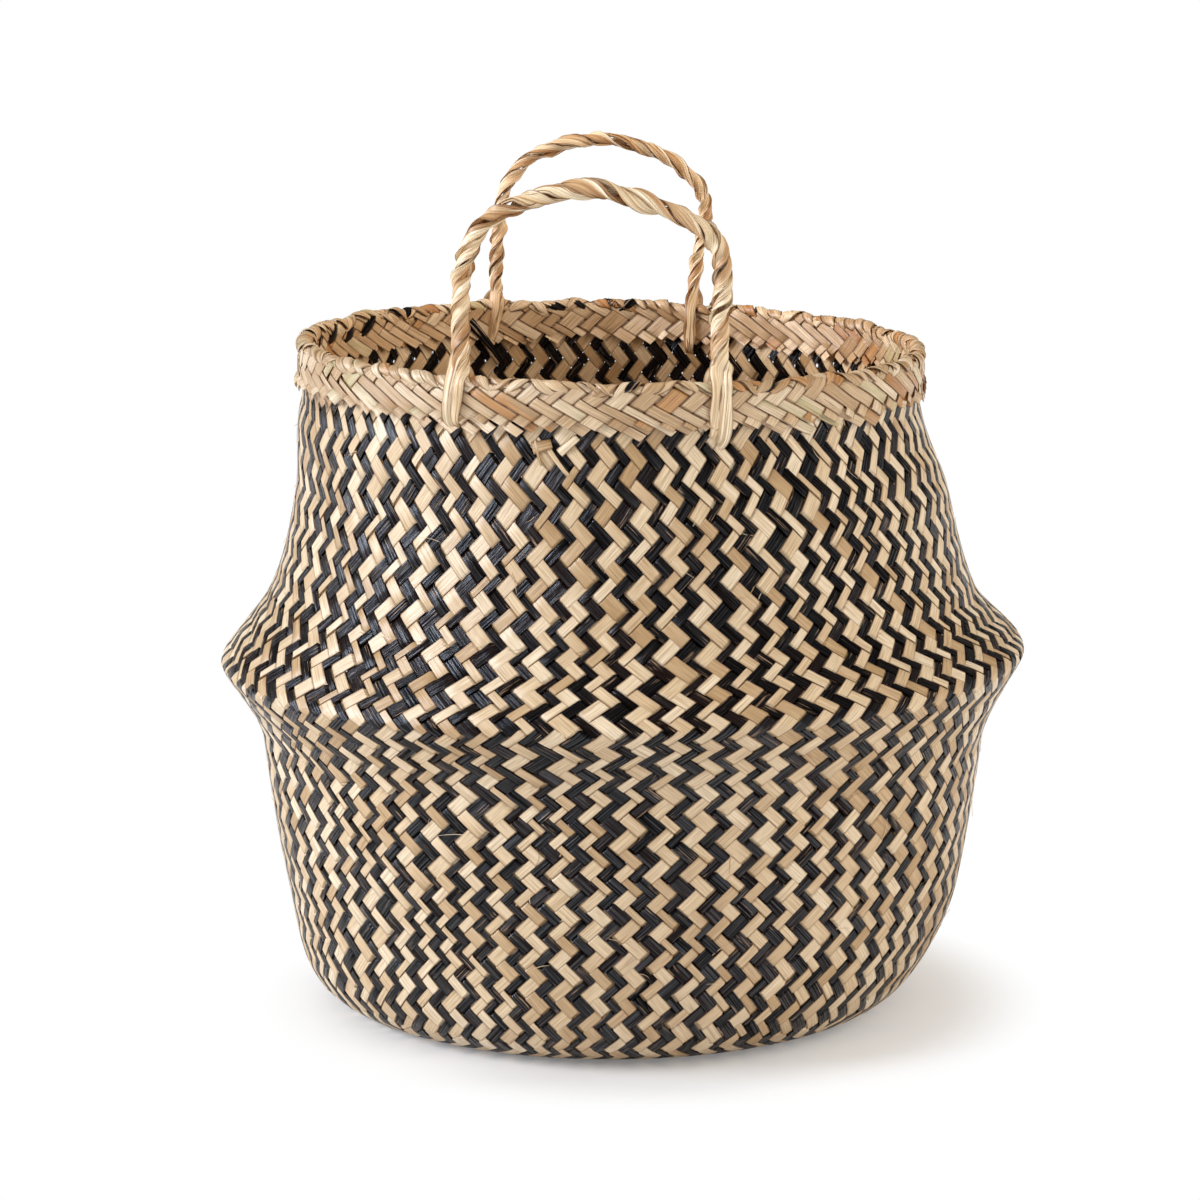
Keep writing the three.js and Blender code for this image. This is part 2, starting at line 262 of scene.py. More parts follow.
class Tree:
    """A small helper that adds nodes and links to a node tree."""

    def __init__(self, tree):
        self.tree = tree

    def add(self, kind, inputs=(), **settings):
        node = self.tree.nodes.new(kind)
        for name, value in settings.items():
            setattr(node, name, value)
        for key, value in dict(inputs).items():
            socket = node.inputs[key]
            if isinstance(value, bpy.types.NodeSocket):
                self.tree.links.new(value, socket)
            else:
                socket.default_value = value
        return node

    def math(self, operation, a, b=0.0, c=0.0):
        return self.add("ShaderNodeMath", {0: a, 1: b, 2: c}, operation=operation).outputs[0]

    def vector(self, operation, a, b=(0.0, 0.0, 0.0), **inputs):
        """The vector that an operation gives, or the number where it gives one."""
        node = self.add("ShaderNodeVectorMath", {0: a, 1: b, **inputs}, operation=operation)
        return node.outputs[1 if operation in ("LENGTH", "DOT_PRODUCT") else 0]

    def split(self, vector):
        return self.add("ShaderNodeSeparateXYZ", {0: vector}).outputs

    def carried(self, name, output="Fac"):
        """A value that the mesh carries under a name."""
        return self.add("ShaderNodeAttribute", attribute_name=name).outputs[output]

    def ramp(self, value, stops):
        """A colour ramp from (place, colour) stops."""
        node = self.add("ShaderNodeValToRGB", {0: value})
        elements = node.color_ramp.elements
        while len(elements) < len(stops):
            elements.new(0.5)
        for element, (place, colour) in zip(elements, stops):
            element.position = place
            element.color = (*colour, 1)
        return node.outputs[0]

    def mixed(self, share, a, b, blend="MIX"):
        """Two colours mixed by a share; a colour is a socket, or a red, green and blue."""
        colours = [c if isinstance(c, bpy.types.NodeSocket) else (*c, 1) for c in (a, b)]
        inputs = {0: share, 6: colours[0], 7: colours[1]}
        return self.add("ShaderNodeMix", inputs, data_type="RGBA", blend_type=blend).outputs[2]

    def steps(self, value, low, high):
        """0 below low, 1 above high, smooth between."""
        inputs = {0: value, 1: low, 2: high, 3: 0.0, 4: 1.0}
        return self.add("ShaderNodeMapRange", inputs, interpolation_type="SMOOTHSTEP").outputs[0]

    def blended(self, share, a, b):
        """Two surfaces mixed by a share."""
        return self.add("ShaderNodeMixShader", {0: share, 1: a, 2: b}).outputs[0]


def geometry_tree(name, inputs):
    """The helper of a new geometry tree with named inputs, and what the inputs give."""
    tree = bpy.data.node_groups.new(name, "GeometryNodeTree")
    for label, kind in (("Geometry", "NodeSocketGeometry"), *inputs, ("Finish", "NodeSocketMaterial")):
        tree.interface.new_socket(label, in_out="INPUT", socket_type=kind)
    tree.interface.new_socket("Geometry", in_out="OUTPUT", socket_type="NodeSocketGeometry")
    nodes = Tree(tree)
    return nodes, nodes.add("NodeGroupInput").outputs


def sample_along(nodes, guide, length):
    """Place and direction at a length along the line that the guide object holds."""
    line = nodes.add("GeometryNodeObjectInfo", {"Object": guide}).outputs["Geometry"]
    curve = nodes.add("GeometryNodeMeshToCurve", {"Mesh": line}).outputs[0]
    sample = nodes.add("GeometryNodeSampleCurve", {"Curves": curve, "Length": length}, mode="LENGTH")
    return sample.outputs["Position"], sample.outputs["Tangent"]


def finish_tree(nodes, given, places):
    """The tree that moves the given geometry's points to their places and gives it its finish."""
    moved = nodes.add("GeometryNodeSetPosition", {"Geometry": given["Geometry"], "Position": places})
    real = nodes.add("GeometryNodeRealizeInstances", {0: moved.outputs[0]}).outputs[0]
    finished = nodes.add("GeometryNodeSetMaterial", {"Geometry": real, "Material": given["Finish"]})
    nodes.add("NodeGroupOutput", {0: finished.outputs[0]})
    return nodes.tree


def wrapping_tree():
    """Wraps a flat sheet round an outline: x is the angle, y the length along it, z the height off it."""
    nodes, given = geometry_tree("wrap_on_outline", [("Outline", "NodeSocketObject")])
    angle, length, height = nodes.split(nodes.add("GeometryNodeInputPosition").outputs[0])
    place, direction = sample_along(nodes, given["Outline"], length)
    radius, _, level = nodes.split(place)
    run, _, rise = nodes.split(direction)
    radius = nodes.math("MULTIPLY_ADD", rise, height, radius)
    level = nodes.math("SUBTRACT", level, nodes.math("MULTIPLY", run, height))
    across = nodes.math("MULTIPLY", radius, nodes.math("COSINE", angle))
    deep = nodes.math("MULTIPLY", radius, nodes.math("SINE", angle))
    wrapped = nodes.add("ShaderNodeCombineXYZ", {0: across, 1: deep, 2: level}).outputs[0]
    return finish_tree(nodes, given, wrapped)


def bending_tree():
    """Bends straight work along a path: x is the side, y the length along the path, z faces outwards."""
    inputs = [("Path", "NodeSocketObject"), ("Facing", "NodeSocketVector")]
    nodes, given = geometry_tree("bend_along_path", inputs)
    side, length, depth = nodes.split(nodes.add("GeometryNodeInputPosition").outputs[0])
    place, direction = sample_along(nodes, given["Path"], length)
    across = nodes.vector("NORMALIZE", nodes.vector("CROSS_PRODUCT", direction, given["Facing"]))
    outwards = nodes.vector("CROSS_PRODUCT", across, direction)
    sideways = nodes.vector("SCALE", across, Scale=side)
    moved = nodes.vector("ADD", sideways, nodes.vector("SCALE", outwards, Scale=depth))
    return finish_tree(nodes, given, nodes.vector("ADD", place, moved))


def run_tree(obj, tree, values):
    """Gives obj the tree's result as a plain mesh."""
    modifier = obj.modifiers.new(tree.name, "NODES")
    modifier.node_group = tree
    sockets = {item.name: item.identifier for item in tree.interface.items_tree if item.in_out == "INPUT"}
    for name, value in values.items():
        modifier[sockets[name]] = value
    depsgraph = bpy.context.evaluated_depsgraph_get()
    depsgraph.update()
    result = bpy.data.meshes.new_from_object(obj.evaluated_get(depsgraph))
    obj.modifiers.clear()
    obj.data = result


def new_object(name, mesh):
    obj = bpy.data.objects.new(name, mesh)
    bpy.context.scene.collection.objects.link(obj)
    return obj


def guide_object(name, points):
    """A line through points, for a tree to follow."""
    mesh = bpy.data.meshes.new(name)
    mesh.from_pydata(points, [(i, i + 1) for i in range(len(points) - 1)], [])
    return new_object(name, mesh)


def outline_object(name, line):
    return guide_object(name, [(r, 0, z) for r, z in line])


# Strips


@dataclass
class StripSet:
    """Strips that lie side by side: their middles, widths and chance tones."""

    middles: np.ndarray
    widths: np.ndarray
    tones: np.ndarray

    @property
    def count(self):
        return len(self.middles)

    def middle(self, index):
        return self.middles[index % self.count] + self.count * (index // self.count)

    def low_edge(self, index):
        return (self.middle(index - 1) + self.middle(index)) / 2


def chance_strips(seed, count, group, shares, spread):
    """Strips of chance widths that fill each group of places exactly."""
    rng = np.random.default_rng(seed)
    widths = np.array([shares[i % len(shares)] for i in range(count)])
    widths *= 1 + spread * np.clip(rng.normal(size=count), -WIDEST_CHANCE, WIDEST_CHANCE)
    blocks = widths.reshape(-1, group)
    widths = (blocks * group / blocks.sum(axis=1)[:, None]).ravel()
    middles = np.cumsum(widths) - widths / 2
    return StripSet(middles, widths, rng.random(count))


def returning_strips(first):
    """The same strips where they come back out of the square floor, leaning the other way."""
    index = np.arange(STRIPS)
    shift = 2 * PER_SIDE * (index // PER_SIDE + 1)
    place = (index - shift) % STRIPS
    back = StripSet(*np.zeros((3, STRIPS)))
    back.middles[place] = (first.middles - shift) % STRIPS
    back.widths[place] = first.widths
    back.tones[place] = first.tones
    return back


class MeshParts:
    """Collects many small closed strips into one mesh."""

    def __init__(self):
        self.points = []
        self.faces = []
        self.uv = []
        self.tones = []
        self.edges = []
        self.total = 0

    def add_strip(self, rings, across, along, tone):
        """rings: steps x around x 3; the ends are closed."""
        steps, around, _ = rings.shape
        self.points.append(rings.reshape(-1, 3))
        index = self.total + np.arange(steps * around).reshape(steps, around)
        turned = np.roll(index, -1, axis=1)
        quads = np.stack([index[:-1], turned[:-1], turned[1:], index[1:]], axis=-1).reshape(-1, 4)
        self.faces += quads.tolist()
        self.faces.append(index[0, ::-1].tolist())
        self.faces.append(index[-1].tolist())
        self.uv.append(np.stack([np.broadcast_to(across, (steps, around)), along], axis=-1).reshape(-1, 2))
        self.tones.append(np.full(steps * around, tone))
        middle, reach = (across.max(axis=1) + across.min(axis=1)) / 2, np.ptp(across, axis=1) / 2
        self.edges.append((np.abs(across - middle[:, None]) / reach[:, None]).ravel())
        self.total += steps * around

    def mesh(self, name):
        mesh = bpy.data.meshes.new(name)
        mesh.from_pydata(np.concatenate(self.points), [], self.faces)
        corners = np.zeros(len(mesh.loops), int)
        mesh.loops.foreach_get("vertex_index", corners)
        layer = mesh.uv_layers.new(name="strip_uv")
        layer.data.foreach_set("uv", np.concatenate(self.uv)[corners].astype(np.float32).ravel())
        for label, values in (("tone", self.tones), ("edge", self.edges)):
            layer = mesh.attributes.new(label, "FLOAT", "POINT")
            layer.data.foreach_set("value", np.concatenate(values).astype(np.float32))
        mesh.polygons.foreach_set("use_smooth", np.ones(len(mesh.polygons), bool))
        return mesh


@dataclass
class Cloth:
    """How the strips of a sheet look: their thickness, float and ends."""

    thickness: float
    crown: float
    lift: float
    fill: float
    slack: float
    tilt: float
    square_cut: bool = False
    curl: float = 0.0

    def section(self):
        """A strip's section: three points across its face and three across its back, both crowned."""
        across = np.array([-1.0, 0.0, 1.0, 1.0, 0.0, -1.0])
        face = self.thickness / 2 - self.crown * np.array([1.0, 0.0, 1.0])
        back = BACK_CROWN_SHARE * self.crown * np.array([1.0, 0.0, 1.0]) - self.thickness / 2
        return across, np.concatenate([face, back])

    def knots(self, edges, on_top):
        """Where a strip steps over or under others, and its height there: at each edge and beside it."""
        heights = np.where(on_top, self.lift, -self.lift)
        low, high = edges[:-1], edges[1:]
        before = np.concatenate([heights[:1], heights[:-1]])
        edge = FLOAT_EDGE * (high - low)
        places = np.stack([low, low + edge, high - edge], axis=1)
        levels = np.stack([(heights + before) / 2, heights, heights], axis=1)
        return places.ravel(), levels.ravel()


def between(places, low, high):
    """The stretch of places that covers low to high, and one more place at each end."""
    inside = np.flatnonzero((places > low) & (places < high))
    return slice(max(inside[0] - 1, 0), min(inside[-1] + 2, len(places)))


def even_twill(total, sideways):
    """Each left-leaning strip goes over two and under two."""
    return np.isin(total % 4, (0, 1))


def wall_strips(parts, sheet, own, cross, leans_left, rows, cloth, pattern=even_twill):
    """Adds the strips of one direction between two rows, to each of the meshes in turn."""
    across, section = cloth.section()
    rng = np.random.default_rng(SEED + own.count + leans_left)
    low_rows, high_rows = (np.broadcast_to(np.asarray(row, float), own.count) for row in rows)
    for index in range(own.count):
        middle = own.middles[index]
        low_row, high_row = low_rows[index], high_rows[index]
        first = int(math.floor(low_row - middle)) - 3
        last = int(math.ceil(high_row - middle)) + 3
        others = np.arange(first, last + 1)
        edges = np.array([cross.low_edge(other) for other in range(first, last + 2)])
        sideways = index - others if leans_left else others - index
        places, heights = cloth.knots(edges, pattern(index + others, sideways) == leans_left)
        fill = cloth.fill - cloth.slack * rng.random() ** 2
        side = middle + across * own.widths[index] * fill / 2
        kept = between(places, low_row - side.max(), high_row - side.min())
        cut = middle if cloth.square_cut else side
        along = np.clip(places[kept, None] + np.zeros(len(across)), low_row - cut, high_row - cut)
        height = np.interp(along, places, heights) + section + cloth.tilt * rng.uniform(-1, 1) * across
        if cloth.curl:
            to_end = np.minimum(along - (low_row - middle), (high_row - middle) - along)
            near = np.clip(1 - to_end / CURL_ROWS, 0, 1)
            height += cloth.curl * (LEAST_CURL + own.tones[index]) * near**2
        row = along + side
        sideways = side - along if leans_left else along - side
        flat = sheet.flat(row, sideways, height)
        uv_across = np.broadcast_to(across * own.widths[index] + FINISH_STEP * index, flat.shape[:2])
        if not leans_left:
            flat, uv_across, along = flat[:, ::-1], uv_across[:, ::-1], along[:, ::-1]
        parts[index % len(parts)].add_strip(flat, uv_across, along, own.tones[index])


def square_to_disc(x, y):
    """A place on the square floor, each side from -1 to 1, as its angle and share of the disc's radius."""
    size = np.maximum(np.abs(x), np.abs(y))
    safe = np.maximum(size, TINY)
    upright = np.abs(y) >= np.abs(x)
    quarter = np.where(upright, np.sign(y) * math.pi / 2, np.where(x > 0, 0, math.pi))
    minor = np.where(upright, -np.sign(y) * x, np.where(x > 0, y, -y))
    angle = quarter + math.pi / 4 * minor / safe
    share = smooth(size, SQUARE_MIDDLE_SHARE, 1)
    flat_x = (1 - share) * x * np.sqrt(1 - y * y / 2) + share * size * np.cos(angle)
    flat_y = (1 - share) * y * np.sqrt(1 - x * x / 2) + share * size * np.sin(angle)
    return np.arctan2(flat_y, flat_x), np.hypot(flat_x, flat_y)


def floor_way(first, low_side):
    """The strips that cross the floor one way: their order, and their places from -2 to 2 times a side."""
    half = PER_SIDE
    places = np.arange(half)
    order = np.concatenate([(places + (low_side + 2) * half)[::-1], places + low_side * half])
    before = -2 * (first.middles[order[:half]] - (low_side + 2) * half)
    after = 2 * (first.middles[order[half:]] - low_side * half)
    return order, np.concatenate([before, after])


def floor_over(x, y, rises):
    """Whether a strip that rises, or one that falls, is on top at a crossing: the twill in squares."""
    ring = (np.maximum(np.abs(x), np.abs(y)).astype(int) - PER_SIDE) % 4
    first_leads = np.isin(ring, (1, 2))
    return np.where(np.abs(y) > np.abs(x), first_leads, ~first_leads) == rises


def floor_strips(parts, first, edge_length, cloth):
    """Adds the strips of the square floor, which run to the edge where the wall turns up, likewise."""
    half = PER_SIDE
    nominal = 2 * np.arange(2 * half) - 2 * half + 1
    across, section = cloth.section()
    rising, falling = floor_way(first, 0), floor_way(first, 1)
    for rises, (own, own_at), (_, cross_at) in ((True, rising, falling), (False, falling, rising)):
        middles = (cross_at[1:] + cross_at[:-1]) / 2
        edges = np.concatenate([[-2.0 * half], middles, [2.0 * half]])
        for number, index in enumerate(own):
            same = np.full(2 * half, nominal[number])
            c, d = (same, nominal) if rises else (nominal, same)
            spots, heights = cloth.knots(edges, floor_over((c + d) / 2, (d - c) / 2, rises))
            side = own_at[number] + across * first.widths[index] * cloth.fill
            side = np.clip(side, -2.0 * half, 2.0 * half)
            reach = 2.0 * half - np.abs(side)
            if reach.max() < SHORTEST_FLOOR_STRIP:
                continue
            kept = between(spots, -reach.max(), reach.max())
            along = np.clip(spots[kept, None] + np.zeros(len(across)), -reach, reach)
            height = np.interp(along, spots, heights) + section
            x, y = (side + along) / 2, (along - side) / 2 * (1 if rises else -1)
            angle, share = square_to_disc(x / half, y / half)
            flat = np.stack([angle, share * edge_length, height], axis=-1)
            uv_across = np.broadcast_to(across * first.widths[index] + FINISH_STEP * index, flat.shape[:2])
            uv_along = along / 2
            if rises:
                flat, uv_across, uv_along = flat[:, ::-1], uv_across[:, ::-1], uv_along[:, ::-1]
            parts[index % len(parts)].add_strip(flat, uv_across, uv_along, first.tones[index])


# Finishes

# Each noise along a strip: how fine it is across and along, its detail, and where it is read
DRIFT_NOISE = (0.2, 0.12, 2.0, 40.0)
PATCH_NOISE = (0.5, 0.14, 2.0, 77.0)
FLECK_NOISE = (6.5, 0.35, 3.0, 31.0)
DYE_STREAK_NOISE = (3.4, 0.1, 3.0, 0.0)
DYE_FINE_NOISE = (13.0, 0.25, 2.0, 11.0)
THIN_DYE_NOISE = (0.6, 0.2, 2.0, 90.0)
SCRATCH_NOISE = (6.0, 0.3, 2.0, 53.0)

# The noise values between which each mark comes in
STREAK_RANGE = (0.56, 0.33)
FINE_RANGE = (0.56, 0.4)
PATCH_RANGE = (0.56, 0.64)
FLECK_RANGE = (0.57, 0.64)
BLOTCH_RANGE = (0.35, 0.7)
BROWN_RANGE = (0.6, 0.8)
THIN_DYE_RANGE = (0.55, 0.62)
SCRATCH_RANGE = (0.58, 0.63)
SHEEN_RANGE = (0.4, 0.62)
# Not a noise value: the share of the way to a strip's edge where the painted edge shade comes in
EDGE_SHADE_RANGE = (0.76, 1.0)
# Not a noise value: how far a surface faces inwards where the painted inside light comes in
INNER_LIGHT_RANGE = (-0.1, -0.5)

# Painted light: how much lighter and warmer the leaf is coloured on the side that faces the inside of the
# basket, standing in for the light that falls in there
INNER_PAINTED_LIGHT = (1.16, 1.02, 0.88)
PLAIN = (1.0, 1.0, 1.0)
FINE_LIGHT = (1.05, 1.05, 1.05)
FINE_DARK = (0.72, 0.64, 0.55)
BLOTCH_COLOUR = (0.45, 0.30, 0.17)
BLOTCH_SCALE = 9.0
BLOTCH_STRENGTH = 0.12
FLECK_STRENGTH = 0.75
TONE_DRIFT = 0.7
RIB_HEIGHT = 0.6 * MM
FINE_RIB_SHARE = 0.4
LEAF_SHINE = 0.9
LEAF_ROUGHNESS_SPREAD = 0.2
# How much finer the fine fibres are than the streaks, across and along
FINER_ACROSS = 2.8
FINER_ALONG = 2.4


def shader(name):
    """A new material with an empty tree, and its helper."""
    material = bpy.data.materials.new(name)
    material.use_nodes = True
    material.node_tree.nodes.clear()
    return material, Tree(material.node_tree)


def strip_noise(nodes, across, along, detail=3.0, offset=0.0):
    """Noise drawn out along a strip: across and along are how fine it is each way."""
    scaled = nodes.vector("MULTIPLY", nodes.carried("strip_uv", "Vector"), (across, along, 1.0))
    moved = nodes.vector("ADD", scaled, (offset, offset, offset))
    inputs = {"Vector": moved, "Scale": 1.0, "Detail": detail, "Roughness": 0.6}
    return nodes.add("ShaderNodeTexNoise", inputs).outputs["Fac"]


def place_noise(nodes, scale):
    where = nodes.add("ShaderNodeTexCoord").outputs["Object"]
    inputs = {"Vector": where, "Scale": scale, "Detail": 2.0}
    return nodes.add("ShaderNodeTexNoise", inputs).outputs["Fac"]


def facing_in(nodes):
    """1 where the surface faces the inside of the basket, 0 where it faces out or up."""
    places = nodes.add("ShaderNodeTexCoord").outputs
    outwards = nodes.vector("NORMALIZE", nodes.vector("MULTIPLY", places["Object"], (1.0, 1.0, 0.0)))
    return nodes.steps(nodes.vector("DOT_PRODUCT", outwards, places["Normal"]), *INNER_LIGHT_RANGE)


def ribbed(nodes, streaks, fine, strength):
    """The normal of a surface ribbed along its fibres."""
    height = nodes.math("ADD", streaks, nodes.math("MULTIPLY", fine, FINE_RIB_SHARE))
    inputs = {"Strength": strength, "Distance": RIB_HEIGHT, "Height": height}
    return nodes.add("ShaderNodeBump", inputs).outputs[0]


def leaf_finish(name, stops, streak_shade, fleck_and_edge_shade_colour, fibres=(5.5, 0.14), bump=0.5, rough=0.4, edge=0.5):
    """Dried leaf: a tone for each strip, darker fibres along it, painted light on the side that faces the
    inside of the basket, painted shade along its edges, a few spots, and a ribbed surface.
    """
    material, nodes = shader(name)
    drift = nodes.math("MULTIPLY_ADD", strip_noise(nodes, *DRIFT_NOISE), TONE_DRIFT, -TONE_DRIFT / 2)
    colour = nodes.ramp(nodes.math("ADD", nodes.carried("tone"), drift), stops)
    streaks = strip_noise(nodes, *fibres)
    fine = strip_noise(nodes, fibres[0] * FINER_ACROSS, fibres[1] * FINER_ALONG, 2.0, 11.0)
    shade = nodes.mixed(nodes.steps(streaks, *STREAK_RANGE), PLAIN, streak_shade)
    fine_shade = nodes.mixed(nodes.steps(fine, *FINE_RANGE), FINE_LIGHT, FINE_DARK)
    colour = nodes.mixed(1.0, colour, shade, "MULTIPLY")
    colour = nodes.mixed(1.0, colour, fine_shade, "MULTIPLY")
    # Painted light: the side that faces the inside of the basket is coloured lighter and warmer
    colour = nodes.mixed(facing_in(nodes), colour, nodes.mixed(1.0, colour, INNER_PAINTED_LIGHT, "MULTIPLY"))
    # Painted shade: each strip and leaf is darkened towards its edges, where it meets its neighbours. This
    # uses the same dark colour as the flecks, and edge sets how strong it is
    edge_shade_mask = nodes.steps(nodes.carried("edge"), *EDGE_SHADE_RANGE)
    colour = nodes.mixed(nodes.math("MULTIPLY", edge_shade_mask, edge), colour, fleck_and_edge_shade_colour)
    patch = nodes.steps(strip_noise(nodes, *PATCH_NOISE), *PATCH_RANGE)
    fleck = nodes.steps(strip_noise(nodes, *FLECK_NOISE), *FLECK_RANGE)
    fleck = nodes.math("MULTIPLY", fleck, nodes.math("MULTIPLY", patch, FLECK_STRENGTH))
    colour = nodes.mixed(fleck, colour, fleck_and_edge_shade_colour)
    blotch = nodes.steps(place_noise(nodes, BLOTCH_SCALE), *BLOTCH_RANGE)
    colour = nodes.mixed(nodes.math("MULTIPLY", blotch, BLOTCH_STRENGTH), colour, BLOTCH_COLOUR)
    least_rough = rough - LEAF_ROUGHNESS_SPREAD / 2
    inputs = {
        "Base Color": colour,
        "Roughness": nodes.math("MULTIPLY_ADD", fine, LEAF_ROUGHNESS_SPREAD, least_rough),
        "Specular IOR Level": LEAF_SHINE,
        "Normal": ribbed(nodes, streaks, fine, bump),
    }
    surface = nodes.add("ShaderNodeBsdfPrincipled", inputs).outputs[0]
    nodes.add("ShaderNodeOutputMaterial", {"Surface": surface})
    return material


def dyed_finish():
    """Leaf dyed black: a cool sheen, brown where the dye is thin, and pale scratches along the fibre."""
    material, nodes = shader("dyed_black_leaf")
    stops = [(0.0, (0.0030, 0.0022, 0.0024)), (0.6, (0.0045, 0.0030, 0.0028)), (1.0, (0.012, 0.0065, 0.0055))]
    colour = nodes.ramp(nodes.carried("tone"), stops)
    streaks = strip_noise(nodes, *DYE_STREAK_NOISE)
    fine = strip_noise(nodes, *DYE_FINE_NOISE)
    colour = nodes.mixed(nodes.steps(streaks, *BROWN_RANGE), colour, (0.030, 0.019, 0.017))
    thin = nodes.steps(strip_noise(nodes, *THIN_DYE_NOISE), *THIN_DYE_RANGE)
    line = nodes.steps(strip_noise(nodes, *SCRATCH_NOISE), *SCRATCH_RANGE)
    scratch = nodes.math("MULTIPLY", nodes.math("MULTIPLY", line, thin), 0.8)
    colour = nodes.mixed(scratch, colour, (0.42, 0.27, 0.17))
    inputs = {
        "Base Color": colour,
        "Roughness": nodes.math("MULTIPLY_ADD", streaks, 0.26, 0.12),
        "Specular IOR Level": nodes.math("MULTIPLY_ADD", nodes.steps(streaks, *SHEEN_RANGE), 0.78, 0.03),
        "Specular Tint": (0.86, 0.91, 1.0, 1.0),
        "Normal": ribbed(nodes, streaks, fine, 0.7),
    }
    surface = nodes.add("ShaderNodeBsdfPrincipled", inputs).outputs[0]
    nodes.add("ShaderNodeOutputMaterial", {"Surface": surface})
    return material


def natural_finish():
    stops = [
        (0.0, (0.50, 0.33, 0.16)),
        (0.2, (0.63, 0.455, 0.265)),
        (0.55, (0.74, 0.575, 0.37)),
        (1.0, (0.86, 0.73, 0.54)),
    ]
    shades = (0.86, 0.79, 0.69), (0.22, 0.105, 0.04)
    return leaf_finish("natural_leaf", stops, *shades, fibres=(3.2, 0.12), edge=0.8)


def rim_finish():
    """The rim's leaf: browner and more uneven than the wall's, with some orange and some green strips."""
    stops = [
        (0.0, (0.54, 0.27, 0.09)),
        (0.08, (0.62, 0.34, 0.14)),
        (0.13, (0.54, 0.36, 0.19)),
        (0.45, (0.71, 0.525, 0.325)),
        (0.9, (0.89, 0.75, 0.55)),
        (1.0, (0.64, 0.56, 0.33)),
    ]
    shades = (0.72, 0.62, 0.51), (0.22, 0.10, 0.04)
    return leaf_finish("rim_leaf", stops, *shades, bump=0.7, edge=0.9)


def plait_finish():
    stops = [(0.0, (0.58, 0.34, 0.15)), (0.3, (0.86, 0.66, 0.41)), (1.0, (0.98, 0.88, 0.67))]
    shades = (0.75, 0.58, 0.39), (0.20, 0.085, 0.025)
    return leaf_finish("plaited_leaf", stops, *shades, fibres=(3.6, 0.06), bump=0.6, rough=0.5, edge=0.9)


# Folded leaves

CORNER_CUTS = 4
CUT_SHARE = 0.25
# How far apart leaves of different tones lie in their finish
LEAF_FINISH_STEP = 40 * MM
# A folded leaf's section, as shares of half its width and half its thickness
LEAF_ACROSS = np.array([-1.0, -0.45, 0.12, 0.6, 1.0, 0.55, 0.0, -0.6])
LEAF_HEIGHT = np.array([0.0, 0.62, 1.0, 0.5, 0.0, -0.55, -0.7, -0.5])


class Path:
    """A smooth line in space led by given points, which straight work is bent along."""

    def __init__(self, points, count=400):
        points = np.array(points, float)
        for _ in range(CORNER_CUTS):
            points = self.finer(points)
        lengths = lengths_along(points)
        even = np.linspace(0, lengths[-1], count)
        self.points = np.stack([np.interp(even, lengths, points[:, k]) for k in range(3)], axis=1)
        self.length = lengths_along(self.points)[-1]

    @staticmethod
    def finer(points):
        """Corner cutting: a smoother line that keeps its ends."""
        near = (1 - CUT_SHARE) * points[:-1] + CUT_SHARE * points[1:]
        far = CUT_SHARE * points[:-1] + (1 - CUT_SHARE) * points[1:]
        inner = np.stack([near, far], axis=1).reshape(-1, 3)
        return np.concatenate([points[:1], inner, points[-1:]])


def turned(across, off, twist):
    """The directions across a leaf and off its face, turned about the leaf's line."""
    cos, sin = np.cos(twist)[:, None], np.sin(twist)[:, None]
    return cos * across + sin * off, cos * off - sin * across


def turned_frame(middle, twist):
    """Directions across a leaf and off its face, along a line of middles that faces +Z, turned by twist."""
    along = np.gradient(middle, axis=0)
    along /= np.linalg.norm(along, axis=1)[:, None]
    across = np.cross(along, np.broadcast_to([0.0, 0.0, 1.0], middle.shape))
    across /= np.linalg.norm(across, axis=1)[:, None]
    return turned(across, np.cross(across, along), twist)


def add_leaf(parts, middle, directions, width, thickness, tone, along=None):
    """One folded leaf: a lens-shaped section swept along a line; directions are across it and off it."""
    across, off = directions
    along = middle[:, 1] if along is None else along
    wide = (width[:, None] / 2) * LEAF_ACROSS
    high = (np.broadcast_to(thickness, width.shape)[:, None] / 2) * LEAF_HEIGHT
    rings = middle[:, None] + wide[..., None] * across[:, None] + high[..., None] * off[:, None]
    uv_across = (wide + LEAF_FINISH_STEP * tone) / STRIP_WIDTH
    uv_along = np.broadcast_to(along[:, None] / STRIP_WIDTH, uv_across.shape)
    parts.add_strip(rings, uv_across, uv_along, tone)


def add_laid_leaf(parts, places, twist, width, thickness, tone, along=None):
    """A leaf laid out flat: its places round the basket, along the outline and off the outline."""
    middle = np.stack(places, axis=1)
    add_leaf(parts, middle, turned_frame(middle, twist), width, thickness, tone, along)


def crease_count(along, wave):
    return max(4, int((along[-1] - along[0]) / wave) + 3)


def creased_noise(rng, along, wave):
    """A chance value between -1 and 1 that runs straight from one crease to the next, about a wave apart."""
    count = crease_count(along, wave)
    marks = np.linspace(along[0] - wave, along[-1] + wave, count)
    return np.interp(along, marks, rng.uniform(-1, 1, count))


def slow_noise(rng, along, wave):
    """The same with its creases smoothed out."""
    fine = creased_noise(rng, along, wave)
    width = max(3, int(len(along) / crease_count(along, wave) / 2) * 2 + 1)
    kernel = np.hanning(width + 2)[1:-1]
    padded = np.pad(fine, width // 2, mode="edge")
    return np.convolve(padded, kernel / kernel.sum(), mode="valid")


# The woven body

# The floor's square of strips is drawn out to a disc of the same area
EDGE_LENGTH = 2 * PER_SIDE * STRIP_WIDTH / math.sqrt(TURN)
WOVEN_TOP = NECK_HEIGHT + 16 * MM
WOVEN = Cloth(STRIP_THICKNESS, STRIP_CROWN, FLOAT_HEIGHT, STRIP_FILL, STRIP_SLACK, STRIP_TILT)
TONES = ("natural", "black")
SHARP_FOLD = math.radians(40)

